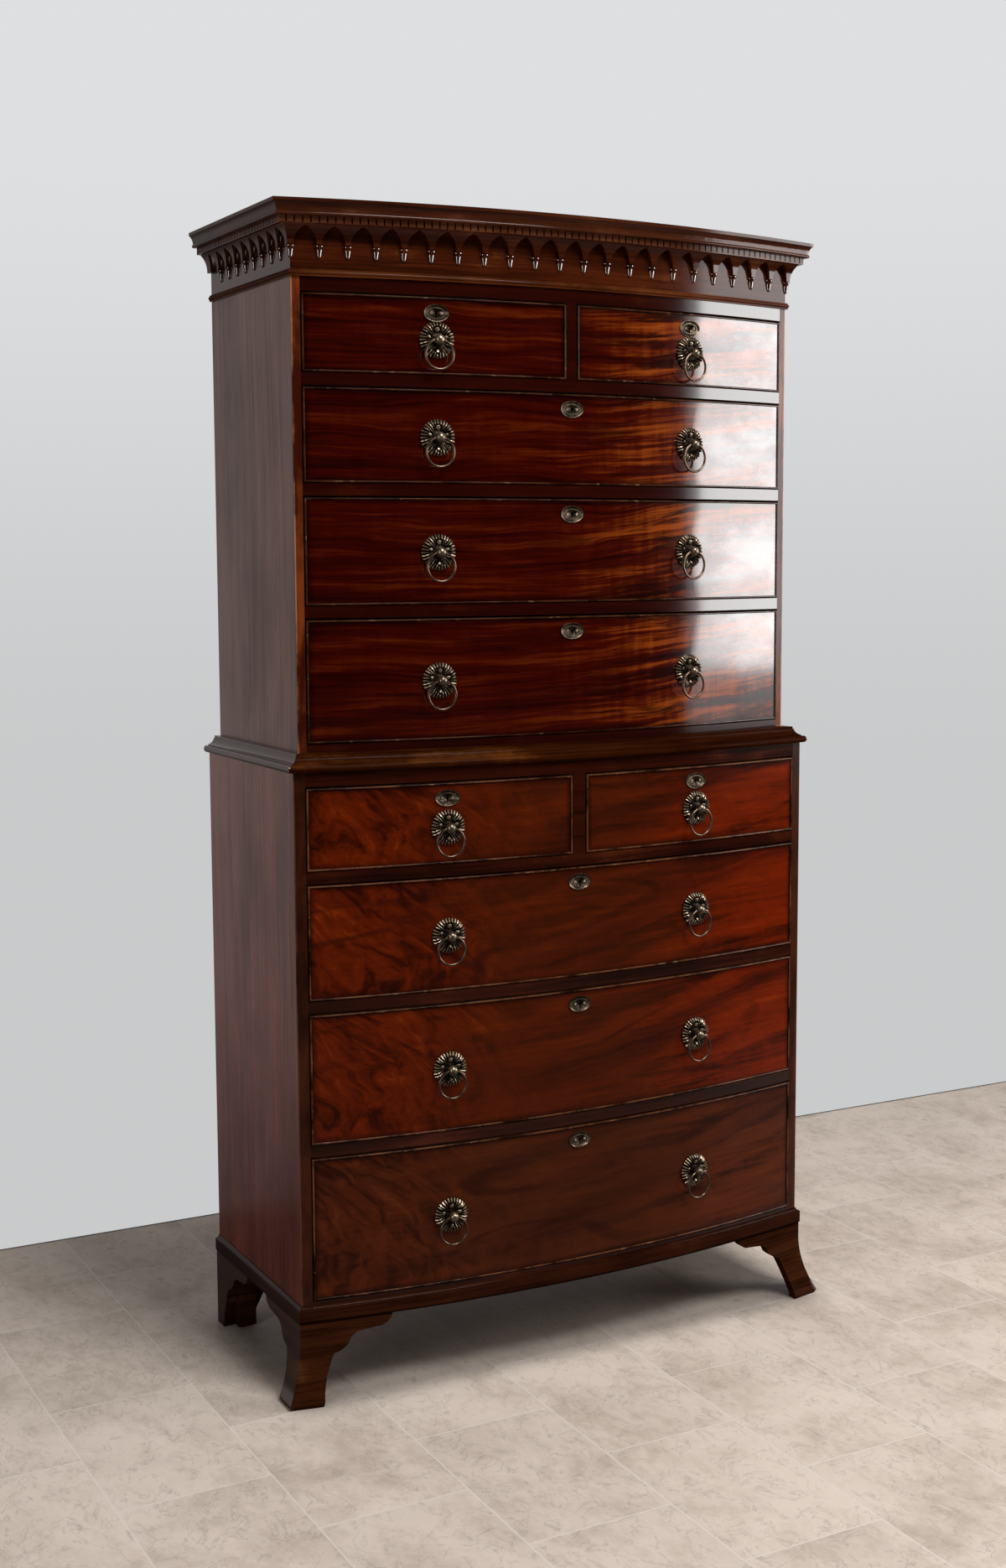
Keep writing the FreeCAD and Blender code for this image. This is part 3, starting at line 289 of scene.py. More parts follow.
def put_on(node, finish):
    """Gives a solid its finish in place of the plain one."""
    slots = solids[node].data.materials
    slots.clear()
    slots.append(finish)


def stands_out(x, y, bow):
    """How far a point stands out from a bowed front."""
    radius, centre = bow
    back = y - centre
    return (x * x + back * back) ** 0.5 - radius


def side_boards(name, node, bow, deep, warm, stile, worn, pale):
    """A side board from deep to warm, and its front edge from stile to worn, with a pale painted
    highlight along its outer arris, broken by rubbed wear.
    """
    wood = Finish(name)
    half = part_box(node)[1][0]
    x, y, z = wood.place()
    sway = wood.noise(x, y * 3.0, z * 1.3, 2.0) - 0.5
    across = y + sway * 0.05
    band = wood.noise(x * 3.0, across * 24.0, z * 0.9, 3.0)
    streak = wood.noise(x * 9.0, across * 190.0, z * 3.5, 3.0)
    pore = wood.noise(x * 50.0, across * 800.0, z * 30.0, 1.0)
    cloud = wood.noise(x, y * 5.0, z * 3.0, 4.0)
    tone = band * 0.45 + streak * 0.35 + cloud * 0.2
    colour = wood.blend(deep, warm, tone.fade(0.36, 0.64))
    colour = wood.shade(colour, pore.fade(0.56, 0.7) * 0.35 + cloud.fade(0.6, 0.35) * 0.25)
    front = stands_out(x, y, bow).fade(-0.0012, -0.0004)
    rubbed = wood.noise(x * 9.0, y * 9.0, z * 7.0, 5.0, 0.65)
    edge = wood.blend(stile, worn, (rubbed * 0.6 + streak * 0.4).fade(0.42, 0.62))
    # Painted highlight: a pale line along the stile's outer arris, broken by rubbed wear.
    arris_highlight = (abs(x) - half).fade(-0.0026, -0.0014) * rubbed.fade(0.36, 0.56)
    edge = wood.blend(edge, pale, arris_highlight * 0.8)
    colour = wood.blend(colour, edge, front)
    dents = wood.noise(x * 30.0, y * 30.0, z * 30.0, 2.0).fade(0.72, 0.8)
    relief = wood.bump(streak * 0.3 - dents - pore.fade(0.56, 0.7) * 0.5, 0.00015)
    polish = 0.72 + (cloud * 0.5 + streak * 0.5).fade(0.36, 0.62) * 0.28
    return wood.surface(Base_Color=colour, Roughness=0.5, Normal=relief, Specular_IOR_Level=0.0,
                        Coat_Weight=polish * (1.0 - front * 0.65), Coat_Roughness=0.22, Coat_IOR=1.6)


# The last colour of each is the painted highlight on the stile's outer arris.
put_on("upper_sides", side_boards("mahogany_upper_sides", "upper_sides", upper_bow,
                                  (0.060, 0.013, 0.006), (0.15, 0.038, 0.018), (0.034, 0.0042, 0.0010),
                                  (0.150, 0.032, 0.0070), (0.36, 0.15, 0.065)))
put_on("lower_sides", side_boards("mahogany_lower_sides", "lower_sides", lower_bow,
                                  (0.085, 0.013, 0.006), (0.19, 0.033, 0.014), (0.016, 0.0036, 0.0014),
                                  (0.042, 0.0105, 0.0040), (0.09, 0.036, 0.018)))


# ---------------------------------------------------------------- rails
# Thin bowed mahogany rails between the drawers, rubbed bright in places on the upper chest, with oak
# stops behind them. Their grain runs with the bow.

def rails(name, bow, deep, warm, bright, coat_ior):
    """Polished rails from deep to warm with bright rubbed places, and bare wood behind their fronts."""
    wood = Finish(name)
    x, y, z = wood.place()
    band = wood.noise(x * 2.2, y * 2.0, z * 60.0, 3.0)
    streak = wood.noise(x * 7.0, y * 9.0, z * 300.0, 3.0)
    rubbed = wood.noise(x * 5.0, y, z * 9.0, 5.0, 0.65)
    tone = band * 0.5 + streak * 0.3 + rubbed * 0.2
    colour = wood.blend(deep, warm, tone.fade(0.38, 0.56))
    colour = wood.blend(colour, bright, (tone * 0.5 + rubbed * 0.5).fade(0.52, 0.68))
    behind = stands_out(x, y, bow).fade(-0.003, -0.006)
    colour = wood.blend(colour, (0.16, 0.09, 0.045), behind)
    return wood.surface(Base_Color=colour, Roughness=0.5, Specular_IOR_Level=0.0,
                        Coat_Weight=0.7 - 0.7 * behind, Coat_Roughness=0.10, Coat_IOR=coat_ior,
                        Normal=wood.bump(streak, 0.0001))


put_on("upper_rails", rails("mahogany_upper_rails", upper_bow, (0.012, 0.0012, 0.0005),
                            (0.019, 0.0019, 0.0006), (0.040, 0.0066, 0.0016), 1.85))
put_on("lower_rails", rails("mahogany_lower_rails", lower_bow, (0.007, 0.0012, 0.0005),
                            (0.024, 0.0038, 0.0012), (0.055, 0.0105, 0.0034), 1.6))


# ---------------------------------------------------------------- inner boards and backs
# Bottoms, dustboards, tops and upright back planks of plain oak and pine, left unpolished, darkened by
# age and dust.

back_planks = 4


def lining(name, along, pale, dark, planks=None):
    """Unpolished boards whose grain runs along one axis, or a case's back of four upright planks."""
    wood = Finish(name)
    spots = wood.place()
    length = spots.pop("xyz".index(along))
    a, b = spots
    band = wood.noise(length * 1.8, a * 24.0, b * 24.0, 4.0)
    streak = wood.noise(length * 9.0, a * 260.0, b * 260.0, 3.0)
    stain = wood.noise(length * 2.5, a * 3.0, b * 3.0, 5.0, 0.65)
    tone = band * 0.5 + streak * 0.5
    colour = wood.blend(dark, pale, tone.fade(0.36, 0.62))
    colour = wood.shade(colour, stain.fade(0.48, 0.75) * 0.45)
    if planks:
        low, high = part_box(planks)
        plank = (a - low[0]) / ((high[0] - low[0]) / back_planks)
        nth = plank - plank.part()
        each = wood.node("TexWhiteNoise", {"noise_dimensions": "1D"}, {"W": nth + 3.0})
        seam = abs(plank.part() - 0.5).fade(0.4925, 0.4975)
        colour = wood.shade(colour, (each * 0.35).most(seam * 0.9))
    return wood.surface(Base_Color=colour, Roughness=0.72, Normal=wood.bump(streak, 0.0003))


boards = lining("oak_boards", "x", (0.30, 0.19, 0.10), (0.19, 0.11, 0.055))
for case in ("upper", "lower"):
    put_on(case + "_boards", boards)
    put_on(case + "_back", lining("pine_" + case + "_back", "z", (0.27, 0.17, 0.09), (0.16, 0.09, 0.045),
                                  planks=case + "_back"))


# ---------------------------------------------------------------- mouldings, feet and cornice
# Solid mahogany, run with planes and glued on: the waist and base mouldings, the splayed bracket feet,
# the plain frieze with its astragal, the arcade and the crown. Rubbed places on them are paler.

def mitre_of(sides, bow):
    """The sum of x and y at a case's front corner, which parts the front lengths from the side ones."""
    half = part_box(sides)[1][0]
    radius, centre = bow
    return half + centre - math.sqrt(radius ** 2 - half ** 2)


upper_mitre = mitre_of("upper_sides", upper_bow)
lower_mitre = mitre_of("lower_sides", lower_bow)

# The heights of the small mouldings, and how far out from the case the dentils' kerfs are painted dark
# as shade.
astragal = (1.970, 1.9815)
arches = (1.990, 2.0215)
dentils = (2.0555, 2.0660)
dust_top = 2.0665
kerf_shade_out = 0.0268
nowhere = 9.0


def solid_mahogany(name, mitre, deep, warm, bright, coats, oak_above=nowhere, shadow_line=nowhere,
                   band_at=(nowhere - 1.0, nowhere), band_coat=0.0, band_highlight_and_wear=0.0, coat_roughness=0.12,
                   coat_ior=1.55):
    """Mouldings from deep to warm, with bright rubbed places and a coat of polish on front and sides.

    The coats part at the mitre. A band of heights may be polished on its own, or lightened as a painted
    highlight broken by rubbed wear. A joint may carry a painted shadow line, the dentils' kerfs are
    painted dark as shade, and what lies above a height may be bare oak.
    """
    wood = Finish(name)
    x, y, z = wood.place()
    sway = wood.noise(x * 2.0, y * 2.0, z * 5.0, 2.0) - 0.5
    level = z + sway * 0.012
    band = wood.noise(x * 2.0, y * 2.6, level * 55.0, 3.0)
    streak = wood.noise(x * 8.0, y * 10.0, level * 330.0, 3.0)
    rubbed = wood.noise(x * 7.0, y * 7.0, z * 12.0, 5.0, 0.65)
    tone = band * 0.45 + streak * 0.35 + rubbed * 0.2
    colour = wood.blend(deep, warm, tone.fade(0.38, 0.58))
    colour = wood.blend(colour, bright, (tone * 0.6 + rubbed * 0.4).fade(0.54, 0.68))
    inside = (z - band_at[0]).fade(-0.0004, 0.0004) * (band_at[1] - z).fade(-0.0004, 0.0004)
    # Painted highlight in a band, broken by rubbed wear: paler dentil faces and golden astragal lines.
    colour = wood.blend(colour, bright, inside * band_highlight_and_wear * (0.3 + rubbed.fade(0.40, 0.62) * 0.7))
    bare = (z - oak_above).fade(-0.0005, 0.0005)
    oak = wood.blend((0.11, 0.062, 0.030), (0.24, 0.145, 0.075), tone.fade(0.36, 0.60))
    colour = wood.blend(colour, oak, bare)
    # A painted shadow line along a joint, such as where the feet meet the base moulding.
    colour = wood.shade(colour, abs(z - shadow_line).fade(0.0045, 0.0005) * 0.8)
    # Painted shade in the dentils' kerfs, behind their faces.
    out = stands_out(x, y, upper_bow).most(abs(x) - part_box("upper_sides")[1][0])
    kerf_shade = out.fade(kerf_shade_out, kerf_shade_out - 0.0012) * (z - dentils[0]).fade(0.0, 0.0005)
    kerf_shade = kerf_shade * (dentils[1] - z).fade(0.0, 0.0005)
    colour = wood.shade(colour, kerf_shade * 0.85)
    dents = wood.noise(x * 60.0, y * 60.0, z * 60.0, 2.0).fade(0.7, 0.8)
    front, side = coats
    coat = front + (abs(x) + y).fade(mitre - 0.0005, mitre + 0.0005) * (side - front)
    return wood.surface(Base_Color=colour, Roughness=0.38 + rubbed * 0.12,
                        Coat_Weight=(coat + inside * (band_coat - coat)) * (1.0 - bare),
                        Coat_Roughness=coat_roughness, Coat_IOR=coat_ior, Specular_IOR_Level=0.0,
                        Normal=wood.bump(streak * 0.4 - dents, 0.00012))


put_on("waist_moulding", solid_mahogany("mahogany_waist", lower_mitre, (0.011, 0.0022, 0.0006),
                                        (0.027, 0.0058, 0.0013), (0.085, 0.024, 0.0046), (0.02, 1.0)))
put_on("base_moulding", solid_mahogany("mahogany_base", lower_mitre, (0.012, 0.0030, 0.0013),
                                       (0.030, 0.0078, 0.0030), (0.060, 0.018, 0.006), (0.05, 0.50),
                                       shadow_line=0.1475))
put_on("bracket_feet", solid_mahogany("mahogany_feet", lower_mitre, (0.012, 0.0030, 0.0010),
                                      (0.036, 0.0105, 0.0034), (0.080, 0.028, 0.009), (0.02, 1.0),
                                      shadow_line=0.1460))
put_on("cornice_box", solid_mahogany("mahogany_frieze", upper_mitre, (0.018, 0.0034, 0.0010),
                                     (0.048, 0.0088, 0.0022), (0.115, 0.034, 0.009), (0.32, 1.0),
                                     oak_above=dust_top, band_at=astragal, band_coat=0.1, band_highlight_and_wear=0.4))
put_on("gothic_arcade", solid_mahogany("mahogany_arcade", upper_mitre, (0.018, 0.0036, 0.0012),
                                       (0.044, 0.0095, 0.0030), (0.09, 0.028, 0.010), (0.16, 0.38),
                                       band_at=arches, band_coat=1.0, coat_roughness=0.06,
                                       coat_ior=2.3))
put_on("crown_moulding", solid_mahogany("mahogany_crown", upper_mitre, (0.016, 0.0034, 0.0014),
                                        (0.044, 0.0110, 0.0042), (0.095, 0.032, 0.013), (0.38, 0.60),
                                        band_at=dentils, band_coat=0.3, band_highlight_and_wear=0.55))


# ---------------------------------------------------------------- drawers
# Oak boxes behind bowed fronts, which are veneered: ribbon-striped mahogany on the upper chest, flame
# mahogany on the lower. Rounded cock beads stand a little proud round each front.

bead_width = 0.0035
front_thick = 0.020
tail_pitch = 0.034
lap = 0.0065            # the front's wood before the dovetails' ends


def ribbon_figure(wood, x, z, seed):
    """Quiet level grain on the left, and dark feathery ribbons in orange towards the right, where
    the veneer is also painted brighter as light from the window's side.
    """
    right = x.fade(-0.10, 0.30)
    sway = wood.noise(x * 2.2, z * 6.0, seed, 3.0) - 0.5
    level = z + sway * 0.055 - x * right * 0.10
    ribbon = wood.noise(x * 2.2, level * 34.0, seed, 4.0, 0.62, 0.35)
    streak = wood.noise(x * 4.5, level * 160.0, seed + 3.0, 4.0, 0.65)
    ripple = wood.noise(x * 60.0, z * 9.0, seed + 7.0, 3.0)
    black = wood.noise(x * 3.4, level * 30.0, seed + 11.0, 5.0, 0.66, 0.3)
    tone = ribbon * 0.46 + streak * 0.38 + ripple * (0.06 + right * 0.10)
    # Painted light: tone, red and orange all grow brighter towards the right, the window's side.
    tone = tone + (1.0 - right) * 0.02 + right * 0.03
    red = wood.blend((0.037, 0.0019, 0.0002), (0.054, 0.0036, 0.0004), right)
    colour = wood.blend((0.011, 0.0004, 0.0002), red, tone.fade(0.35, 0.55))
    glow = tone.fade(0.48, 0.62) * (0.14 + right * 0.72)
    colour = wood.blend(colour, (0.25, 0.050, 0.0046), glow)
    colour = wood.blend(colour, (0.008, 0.0008, 0.0004), black.fade(0.51, 0.62) * (0.35 + right * 0.60))
    return colour, tone


def flame_figure(wood, x, z, seed, middle, warm):
    """Feathery tongues on the left, a smooth middle, and a dark stem that rises to the right, where
    the veneer is also painted brighter as light from the window's side.
    """
    up = z - middle
    wander = wood.noise(x * 3.0, z * 6.0, seed, 3.0) - 0.5
    lean = x + up * 0.7 + up * up * 2.4 + wander * 0.12
    tongue = wood.noise(lean * 24.0, up * 15.0, seed + 1.0, 5.0, 0.64, 1.1)
    arc = wood.noise(x * 1.5, (up - x * 0.16 + wander * 0.08) * 24.0, seed + 2.0, 5.0, 0.62)
    grain = wood.noise(x * 5.0, z * 130.0, seed + 8.0, 3.0)
    left = (x + wander * 0.5).fade(0.0, -0.32)
    right = x.fade(0.05, 0.45)
    plain = 1.0 - left * 0.65
    tone = (arc - 0.5) * 0.5 * plain + (tongue - 0.5) * (0.16 + left * 0.50)
    tone = tone + (grain - 0.5) * 0.25 * plain + right * 0.05 + left * 0.02 + 0.49
    deep, red, orange, brown, painted_light_red = warm
    colour = wood.blend(deep, red, tone.fade(0.38, 0.57))
    colour = wood.blend(colour, orange, tone.fade(0.54, 0.84))
    colour = wood.blend(colour, brown, abs(x + 0.02 + wander * 0.3).fade(0.36, 0.12) * 0.5)
    # Painted light: towards the right the tone is raised and the veneer lifted to a brighter red.
    colour = wood.blend(colour, painted_light_red, right * tone.fade(0.42, 0.60) * 0.4)
    stem = abs(up - x * 0.27 + 0.04 + wander * 0.07)
    shadow = stem.fade(0.052, 0.0) * x.fade(-0.26, 0.02) * (0.45 + arc.fade(0.58, 0.40) * 0.55)
    vein = (wood.noise(x * 1.3, z * 4.2, seed + 5.0, 1.0) * 30.0).sine().fade(0.93, 1.0)
    vein = vein * wood.noise(x * 4.0, z * 9.0, seed + 6.0, 2.0).fade(0.46, 0.62)
    return wood.blend(colour, (0.012, 0.0026, 0.0014), (shadow * 0.8).most(vein * 0.5)), tone


def dress_drawer(name, bow, seed, warm=None):
    """One drawer's finish, laid out on its own edges: flame veneer in the warm colours, or ribbons."""
    low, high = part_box(name)
    wood = Finish("mahogany_" + name)
    x, y, z = wood.place()
    if warm:
        veneer, grain = flame_figure(wood, x, z, seed, (low[2] + high[2]) / 2, warm)
    else:
        veneer, grain = ribbon_figure(wood, x, z, seed)
    out = stands_out(x, y, bow)
    edge = (x - low[0]).least(high[0] - x).least(z - low[2]).least(high[2] - z)
    grime = wood.noise(x * 14.0, y * 14.0, z * 14.0, 5.0, 0.7)
    # The veneer darkens towards the bead by a blotchy amount, darkest in a thin line right beside it.
    veneer = wood.shade(veneer, edge.fade(0.016, bead_width) * (0.25 + grime * 0.6))
    veneer = wood.shade(veneer, edge.fade(bead_width + 0.0020, bead_width + 0.0002) * 0.9)
    chipped = wood.noise(x * 60.0, y * 60.0, z * 90.0, 3.0).fade(0.60, 0.68)
    rubbed = (0.10, 0.036, 0.015) if warm else (0.045, 0.014, 0.006)
    strip = wood.blend((0.012, 0.003, 0.0012), rubbed, grime.fade(0.38, 0.60))
    strip = wood.blend(strip, (0.20, 0.11, 0.06), chipped * out.fade(0.0012, 0.0022) * 0.5)
    # Painted shade: the bead's flanks, down by the face, are darkened so that its nose reads lighter.
    strip = wood.shade(strip, out.fade(0.0011, 0.0002) * 0.8)
    proud = out.fade(0.00005, 0.0003)
    colour = wood.blend(veneer, strip, proud)
    solid = wood.blend((0.045, 0.012, 0.005), (0.09, 0.028, 0.012), grain.fade(0.4, 0.6))
    colour = wood.blend(colour, solid, out.fade(-0.0012, -0.0016))
    age = wood.noise(x * 7.0, y * 7.0, z * 90.0, 4.0)
    oak = wood.blend((0.20, 0.12, 0.06), (0.34, 0.22, 0.12), age.fade(0.35, 0.65))
    # The sides' oak shows as lapped dovetails in the ends of the front.
    tooth = abs(((z - low[2]) / tail_pitch).part() - 0.5)
    joined = (0.36 + (out + front_thick) * 9.0 - tooth).fade(0.0, 0.012)
    joined = joined * out.fade(-lap, -lap - 0.0006) * edge.fade(0.0012, 0.0006)
    inner = out.fade(-front_thick + 0.0002, -front_thick - 0.0004)
    colour = wood.blend(colour, oak, inner.most(joined))
    worn = wood.noise(x * 5.0, y, z * 9.0, 5.0, 0.65)
    bead_dulled = (0.60 if warm else 0.96) - x.fade(-0.15, 0.35) * 0.55
    shine = (0.66 + (worn * 0.7 + grain * 0.3).fade(0.60, 0.36) * 0.34) * (1.0 - proud * bead_dulled)
    polished = shine - shine * inner.most(out.fade(-0.0015, -0.003))
    relief = wood.bump(grain * 0.25 + grime * 0.4 * proud + chipped * proud * -0.8, 0.00016)
    put_on(name, wood.surface(Base_Color=colour, Roughness=0.5 + grime * 0.1, Normal=relief,
                              Specular_IOR_Level=0.0, Coat_Weight=polished,
                              Coat_Roughness=0.15 if warm else 0.09, Coat_IOR=1.30 if warm else 1.85))


upper_drawers = ["upper_drawer_1_left", "upper_drawer_1_right", "upper_drawer_2", "upper_drawer_3",
                 "upper_drawer_4"]
lower_drawers = [name.replace("upper", "lower") for name in upper_drawers]
# A flame's deep, red, orange and brown colours, and the brighter red painted towards the right as light.
# The bottom drawer's veneer has faded browner.
red_flame = ((0.020, 0.0024, 0.0006), (0.086, 0.0085, 0.0008), (0.30, 0.045, 0.0034),
             (0.044, 0.0085, 0.0020), (0.150, 0.0085, 0.0005))
brown_flame = ((0.019, 0.0038, 0.0013), (0.060, 0.0110, 0.0030), (0.18, 0.044, 0.010),
               (0.040, 0.0090, 0.0030), (0.080, 0.0150, 0.0030))
for number, name in enumerate(upper_drawers):
    dress_drawer(name, upper_bow, 3.7 * number + 1.0)
for number, name in enumerate(lower_drawers):
    dress_drawer(name, lower_bow, 5.3 * number + 41.0, brown_flame if number == 4 else red_flame)


# ---------------------------------------------------------------- pulls and escutcheons
# Pressed and chased brass, gone brown with its tips still gold: leafy rosettes behind the rings, and
# oval escutcheons with two flowers. The locks, screws, posts and nuts keep their solids' shapes.

flute_pitch = 11.4                  # degrees from one ridge to the next
leaf_edges = (61.0, 121.0)          # degrees from the top, on either side
leaf_middles = (0.0, 91.0, 180.0)
parting_half = 5.5
hole, rim = 3.5, 30.5               # a rosette's radii in millimetres
dish_shape = ((hole, 6.2), (7.0, 5.6), (12.0, 4.3), (18.0, 7.0), (23.8, 9.4), (27.5, 7.0), (rim, 4.0))
buds = ((0.0, 17.0, 4.6), (72.0, 15.5, 3.8), (180.0, 19.0, 3.6))    # angle, distance out and size
pull_x = 0.263
lock_drop = 0.027                   # from a drawer's top to its escutcheon's middle
rosette_tall = (0.055, 0.065)       # the solids' rosettes and escutcheon plates are known by height
plate_tall = (0.028, 0.032)
plate_half = (0.023, 0.015)
plate_rim = 0.86                    # the part of its half-size where a plate's rim starts
fitting_rub, plate_rub, rim_rub, flower_rub = 0.62, 0.36, 0.50, 0.66


def aged_brass(name, dark, gold, roughness):
    """Metal that is dark in its hollows and gold on what its mesh's relief raises."""
    brass = Finish(name)
    x, y, z = brass.place()
    stain = brass.noise(x * 160.0, y * 160.0, z * 160.0, 3.0)
    cloud = brass.noise(x * 40.0, y * 40.0, z * 40.0, 4.0)
    relief = brass.node("Attribute", {"attribute_name": "relief"}, (), 2)
    shine = (relief * 0.75 + cloud * 0.3 + stain * 0.25).fade(0.50, 1.10)
    colour = brass.blend(dark, gold, shine)
    rough = roughness + stain * 0.16 - shine * 0.08
    return brass.surface(Base_Color=colour, Metallic=0.92, Roughness=rough,
                         Normal=brass.bump(stain, 0.0001))


def lerp_along(points, at):
    """The height that a row of (place, height) points has at a place between them."""
    for (p0, h0), (p1, h1) in zip(points, points[1:]):
        if at <= p1:
            return h0 + (h1 - h0) * max(0.0, at - p0) / (p1 - p0)
    return points[-1][1]


def leaf_height(radius, turn):
    """A rosette's height in millimetres, relief and reach, at a radius and a turn from its top."""
    dish = lerp_along(dish_shape, radius)
    turn = abs(turn)
    leaf = sum(turn > edge for edge in leaf_edges)
    middle = leaf_middles[leaf]
    ridge = abs(math.cos(math.radians((turn - middle) * 180.0 / flute_pitch)))
    gap = min(abs(turn - edge) for edge in leaf_edges)
    parting = max(0.0, 1.0 - gap / parting_half)
    depth = min(0.62, max(0.0, (radius - 9.0) / 22.0))
    # The flutes deepen outwards, and a groove parts each leaf from the next.
    height = dish * (1.0 - depth * (1.0 - ridge) - 0.55 * parting * min(1.0, radius / 16.0))
    shown = ridge ** 1.5 * (0.12 + 0.88 * min(1.0, (radius / 26.0) ** 2)) * (1.0 - parting)
    for angle, distance, size in buds:
        away = math.radians(turn - angle)
        near = math.hypot(radius * math.sin(away), radius * math.cos(away) - distance) / size
        if near < 1.0:
            height = max(height, dish + 1.1 * (1.0 - near * near))
            shown = 1.0 - 0.5 * near
        elif near < 1.35:
            height *= 0.62
            shown = 0.0
    return height, shown, 1.045 - 0.085 * (1.0 - ridge) - 0.10 * parting


def rosette():
    """A lathe-turned dish whose face is then pushed into fluted leaves."""
    plate = bmesh.new()
    face, back_rim, facets = -0.001, 0.0302, 132
    radii = (hole, 5.0, 7.0, 9.0, 11.0, 13.0, 14.5, 16.0, 17.5, 19.0, 20.5, 22.0, 23.8, 25.5, 27.0, 28.5,
             29.6, rim)
    section = [plate.verts.new((radius / 1000, face, 0)) for radius in radii]
    section += [plate.verts.new((back_rim, 0, 0)), plate.verts.new((hole / 1000, 0, 0))]
    edges = [plate.edges.new(pair) for pair in zip(section, section[1:] + section[:1])]
    bmesh.ops.spin(plate, geom=section + edges, cent=(0, 0, 0), axis=(0, 1, 0), angle=2 * math.pi,
                   steps=facets, use_merge=True)
    bmesh.ops.remove_doubles(plate, verts=plate.verts, dist=1e-7)
    bmesh.ops.recalc_face_normals(plate, faces=plate.faces)
    layer = plate.verts.layers.float.new("relief")
    for point in plate.verts:
        radius = math.hypot(point.co.x, point.co.z) * 1000
        turn = math.degrees(math.atan2(point.co.x, point.co.z))
        height, shown, reach = leaf_height(min(radius, rim), turn)
        outer = min(1.0, max(0.0, (radius - 16.0) / 12.0))
        if point.co.y < face / 2:
            point.co.y = -height / 1000
            point[layer] = shown
        point.co.x *= 1.0 + (reach - 1.0) * outer
        point.co.z *= 1.0 + (reach - 1.0) * outer
    return plate


def flower_relief():
    """The raised work on an escutcheon: a thin oval line, a pointed eye and a flower at each side."""
    work = bmesh.new()
    wire_radius = 0.00045
    oval_half, oval_stretch = 0.0098, 1.78
    eye_half, eye_radius = 17.0, 21.25      # millimetres: the eye is two arcs that meet at its points
    flower_x, petal_out, petal_radius = 0.0098, 0.0021, 0.00125
    plate_face = -0.0012

    def swept(centre, start, angle, steps, stretch):
        """A thin wire swept round a centre, closed by a full turn and capped by less."""
        closed = angle >= 2 * math.pi
        before = set(work.verts)
        circle = bmesh.ops.create_circle(work, segments=6, radius=wire_radius, cap_ends=not closed)
        for axis in ("X", "Z"):
            quarter_turn = Matrix.Rotation(math.pi / 2, 3, axis)
            bmesh.ops.rotate(work, verts=circle["verts"], cent=(0, 0, 0), matrix=quarter_turn)
        bmesh.ops.translate(work, verts=circle["verts"], vec=start)
        fresh = [v for v in work.verts if v not in before]
        fresh += [e for e in work.edges if e.verts[0] not in before]
        fresh += [f for f in work.faces if f.verts[0] not in before]
        bmesh.ops.spin(work, geom=fresh, cent=centre, axis=(0, 1, 0), angle=angle, steps=steps,
                       use_merge=closed)
        made = [v for v in work.verts if v not in before]
        bmesh.ops.scale(work, verts=made, vec=stretch)

    swept((0, 0, 0), (0, 0, oval_half), 2 * math.pi, 44, (oval_stretch, 1.0, 1.0))
    half = math.asin(eye_half / eye_radius)
    sunk = math.sqrt(eye_radius ** 2 - eye_half ** 2)
    for side in (-1, 1):
        centre = Vector((0, 0, -sunk / 1000 * side))
        start = centre + Matrix.Rotation(-half, 3, "Y") @ Vector((0, 0, eye_radius / 1000 * side))
        swept(centre, start, 2 * half, 18, (1.0, 1.0, 1.0))
    for side in (-1, 1):
        for petal in range(6):
            lean = math.radians(72.0 * petal)
            out = petal_out if petal < 5 else 0.0
            ball = bmesh.ops.create_uvsphere(work, u_segments=8, v_segments=6, radius=petal_radius)
            bmesh.ops.scale(work, verts=ball["verts"], vec=(1.0, 0.8, 1.0))
            bmesh.ops.translate(work, verts=ball["verts"],
                                vec=(flower_x * side + out * math.sin(lean), 0, out * math.cos(lean)))
    bmesh.ops.translate(work, verts=work.verts, vec=(0, plate_face, 0))
    bmesh.ops.remove_doubles(work, verts=work.verts, dist=1e-7)
    bmesh.ops.holes_fill(work, edges=[edge for edge in work.edges if edge.is_boundary])
    bmesh.ops.recalc_face_normals(work, faces=work.faces)
    layer = work.verts.layers.float.new("relief")
    for point in work.verts:
        point[layer] = flower_rub
    return work


def shells(mesh):
    """The separate closed shells of a mesh, each as its points."""
    left = set(mesh.verts)
    while left:
        shell, edge = set(), {left.pop()}
        while edge:
            shell |= edge
            edge = {e.other_vert(v) for v in edge for e in v.link_edges} - shell
        left -= shell
        yield shell


def set_on_front(mesh, bow, x, z):
    """Carries a mesh made at the origin to its place on a bowed front, square to the bow."""
    radius, centre = bow
    turn = math.asin(x / radius)
    spot = Vector((x, centre - math.sqrt(radius ** 2 - x ** 2), z))
    mesh.transform(Matrix.Translation(spot) @ Matrix.Rotation(turn, 4, "Z"))


def join_in(whole, part):
    """Adds one mesh in progress to another."""
    carrier = bpy.data.meshes.new("carrier")
    part.to_mesh(carrier)
    part.free()
    whole.from_mesh(carrier)
    bpy.data.meshes.remove(carrier)


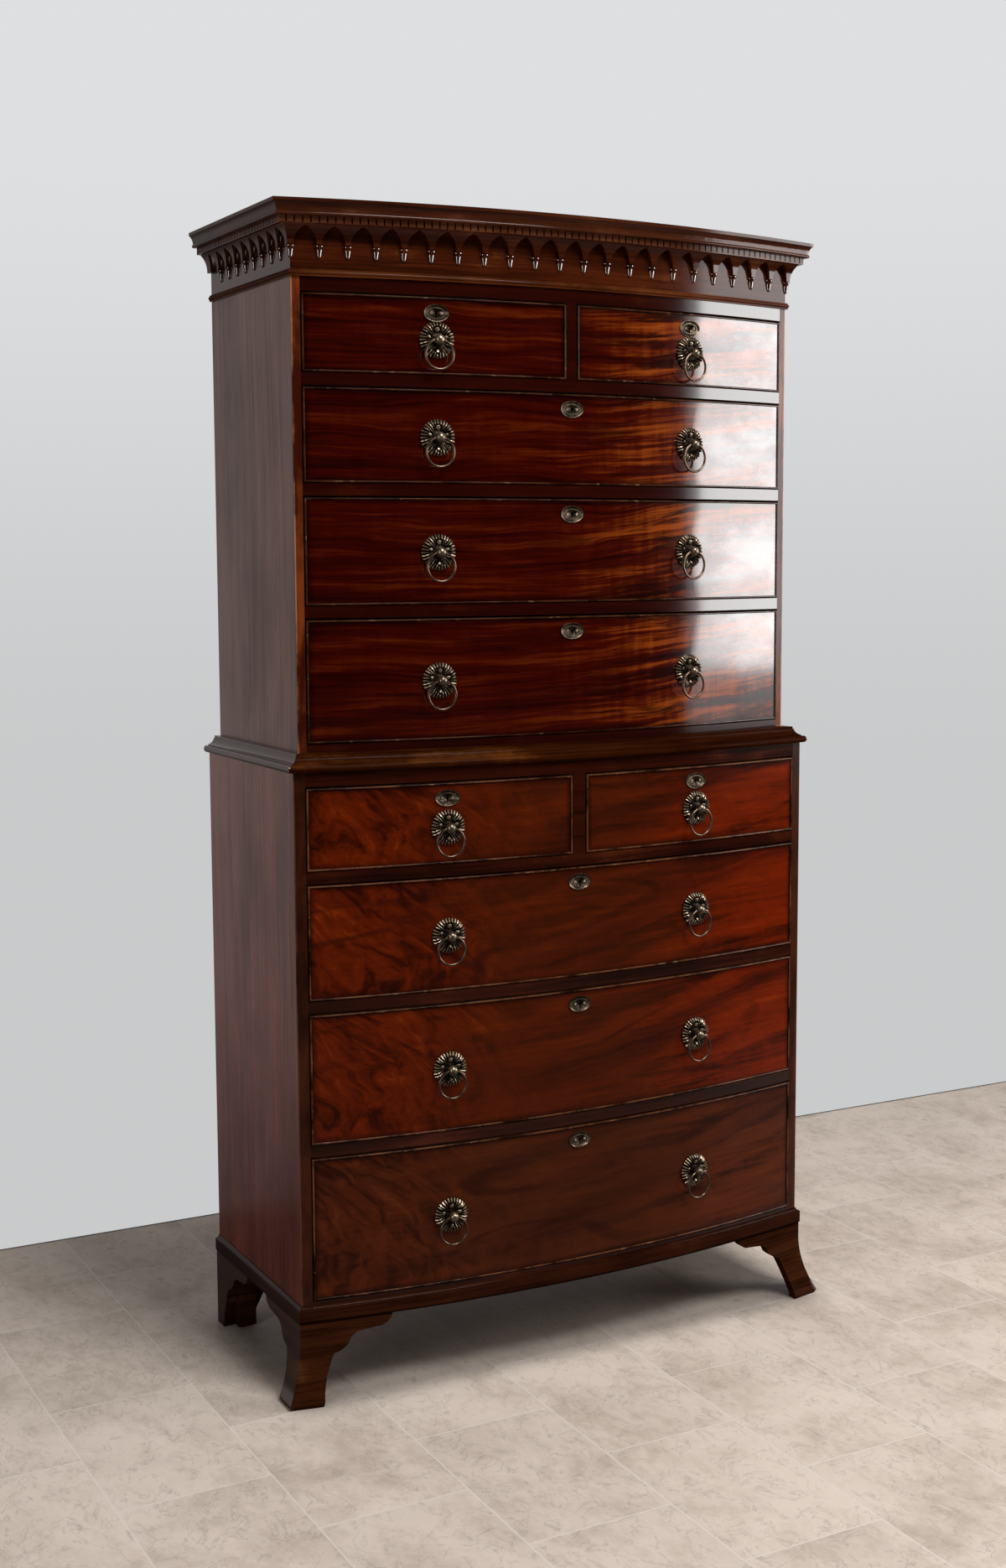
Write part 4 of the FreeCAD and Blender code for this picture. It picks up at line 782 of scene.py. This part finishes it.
def brass_of(drawer, bow, pulls, pull_z, lock_x, finish):
    """A drawer's brass: its solids without their plain rosettes, with the leafy ones in their place."""
    node = drawer + "_fittings"
    kept = bmesh.new()
    kept.from_mesh(solids[node].data)
    bmesh.ops.remove_doubles(kept, verts=kept.verts, dist=1e-6)
    layer = kept.verts.layers.float.new("relief")
    gone = []
    for shell in shells(kept):
        heights = [point.co.z for point in shell]
        tall = max(heights) - min(heights)
        if rosette_tall[0] < tall < rosette_tall[1]:
            gone += shell
        is_plate = plate_tall[0] < tall < plate_tall[1]
        middle = min(heights) + tall / 2
        # Bare fittings are half rubbed, and a plate is browner inside its rim.
        for point in shell:
            across = (point.co.x - lock_x) / plate_half[0]
            up = (point.co.z - middle) / plate_half[1]
            ground = rim_rub if math.hypot(across, up) > plate_rim else plate_rub
            point[layer] = ground if is_plate else fitting_rub
    bmesh.ops.delete(kept, geom=gone, context="VERTS")
    for x in pulls:
        plate = rosette()
        set_on_front(plate, bow, x, pull_z)
        join_in(kept, plate)
    work = flower_relief()
    set_on_front(work, bow, lock_x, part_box(drawer)[1][2] - lock_drop)
    join_in(kept, work)
    mesh = bpy.data.meshes.new(drawer + "_brass")
    kept.to_mesh(mesh)
    kept.free()
    mesh.materials.append(finish)
    piece = bpy.data.objects.new(drawer + "_brass", mesh)
    bpy.context.scene.collection.objects.link(piece)
    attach(piece, drawer)
    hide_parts(node)
    for face in mesh.polygons:
        face.use_smooth = True
    mesh.set_sharp_from_angle(angle=math.radians(38))


chased_brass = aged_brass("chased_brass", (0.018, 0.0115, 0.0068), (0.64, 0.49, 0.34), 0.30)
# The heights of each chest's four rows of pulls, from the top.
pull_heights = {"upper": (1.870, 1.70225, 1.503, 1.2775), "lower": (1.0185, 0.824, 0.58075, 0.3105)}
for drawers, bow in ((upper_drawers, upper_bow), (lower_drawers, lower_bow)):
    for name in drawers:
        row = int(name.split("_")[2])
        pulls = {"left": (-pull_x,), "right": (pull_x,)}.get(name.split("_")[-1], (-pull_x, pull_x))
        lock_x = pulls[0] if len(pulls) == 1 else 0.0
        brass_of(name, bow, pulls, pull_heights[name[:5]][row - 1], lock_x, chased_brass)


# ---------------------------------------------------------------- rings and bolts
# Plain cast rings of round wire, brown mottled with gold, and steel lock bolts.

ring_brass = aged_brass("ring_brass", (0.15, 0.095, 0.064), (0.66, 0.49, 0.37), 0.22)
steel = aged_brass("lock_steel", (0.20, 0.19, 0.18), (0.42, 0.41, 0.40), 0.40)
for node in solids:
    if "_ring" in node:
        put_on(node, ring_brass)
    elif node.endswith("_bolt"):
        put_on(node, steel)
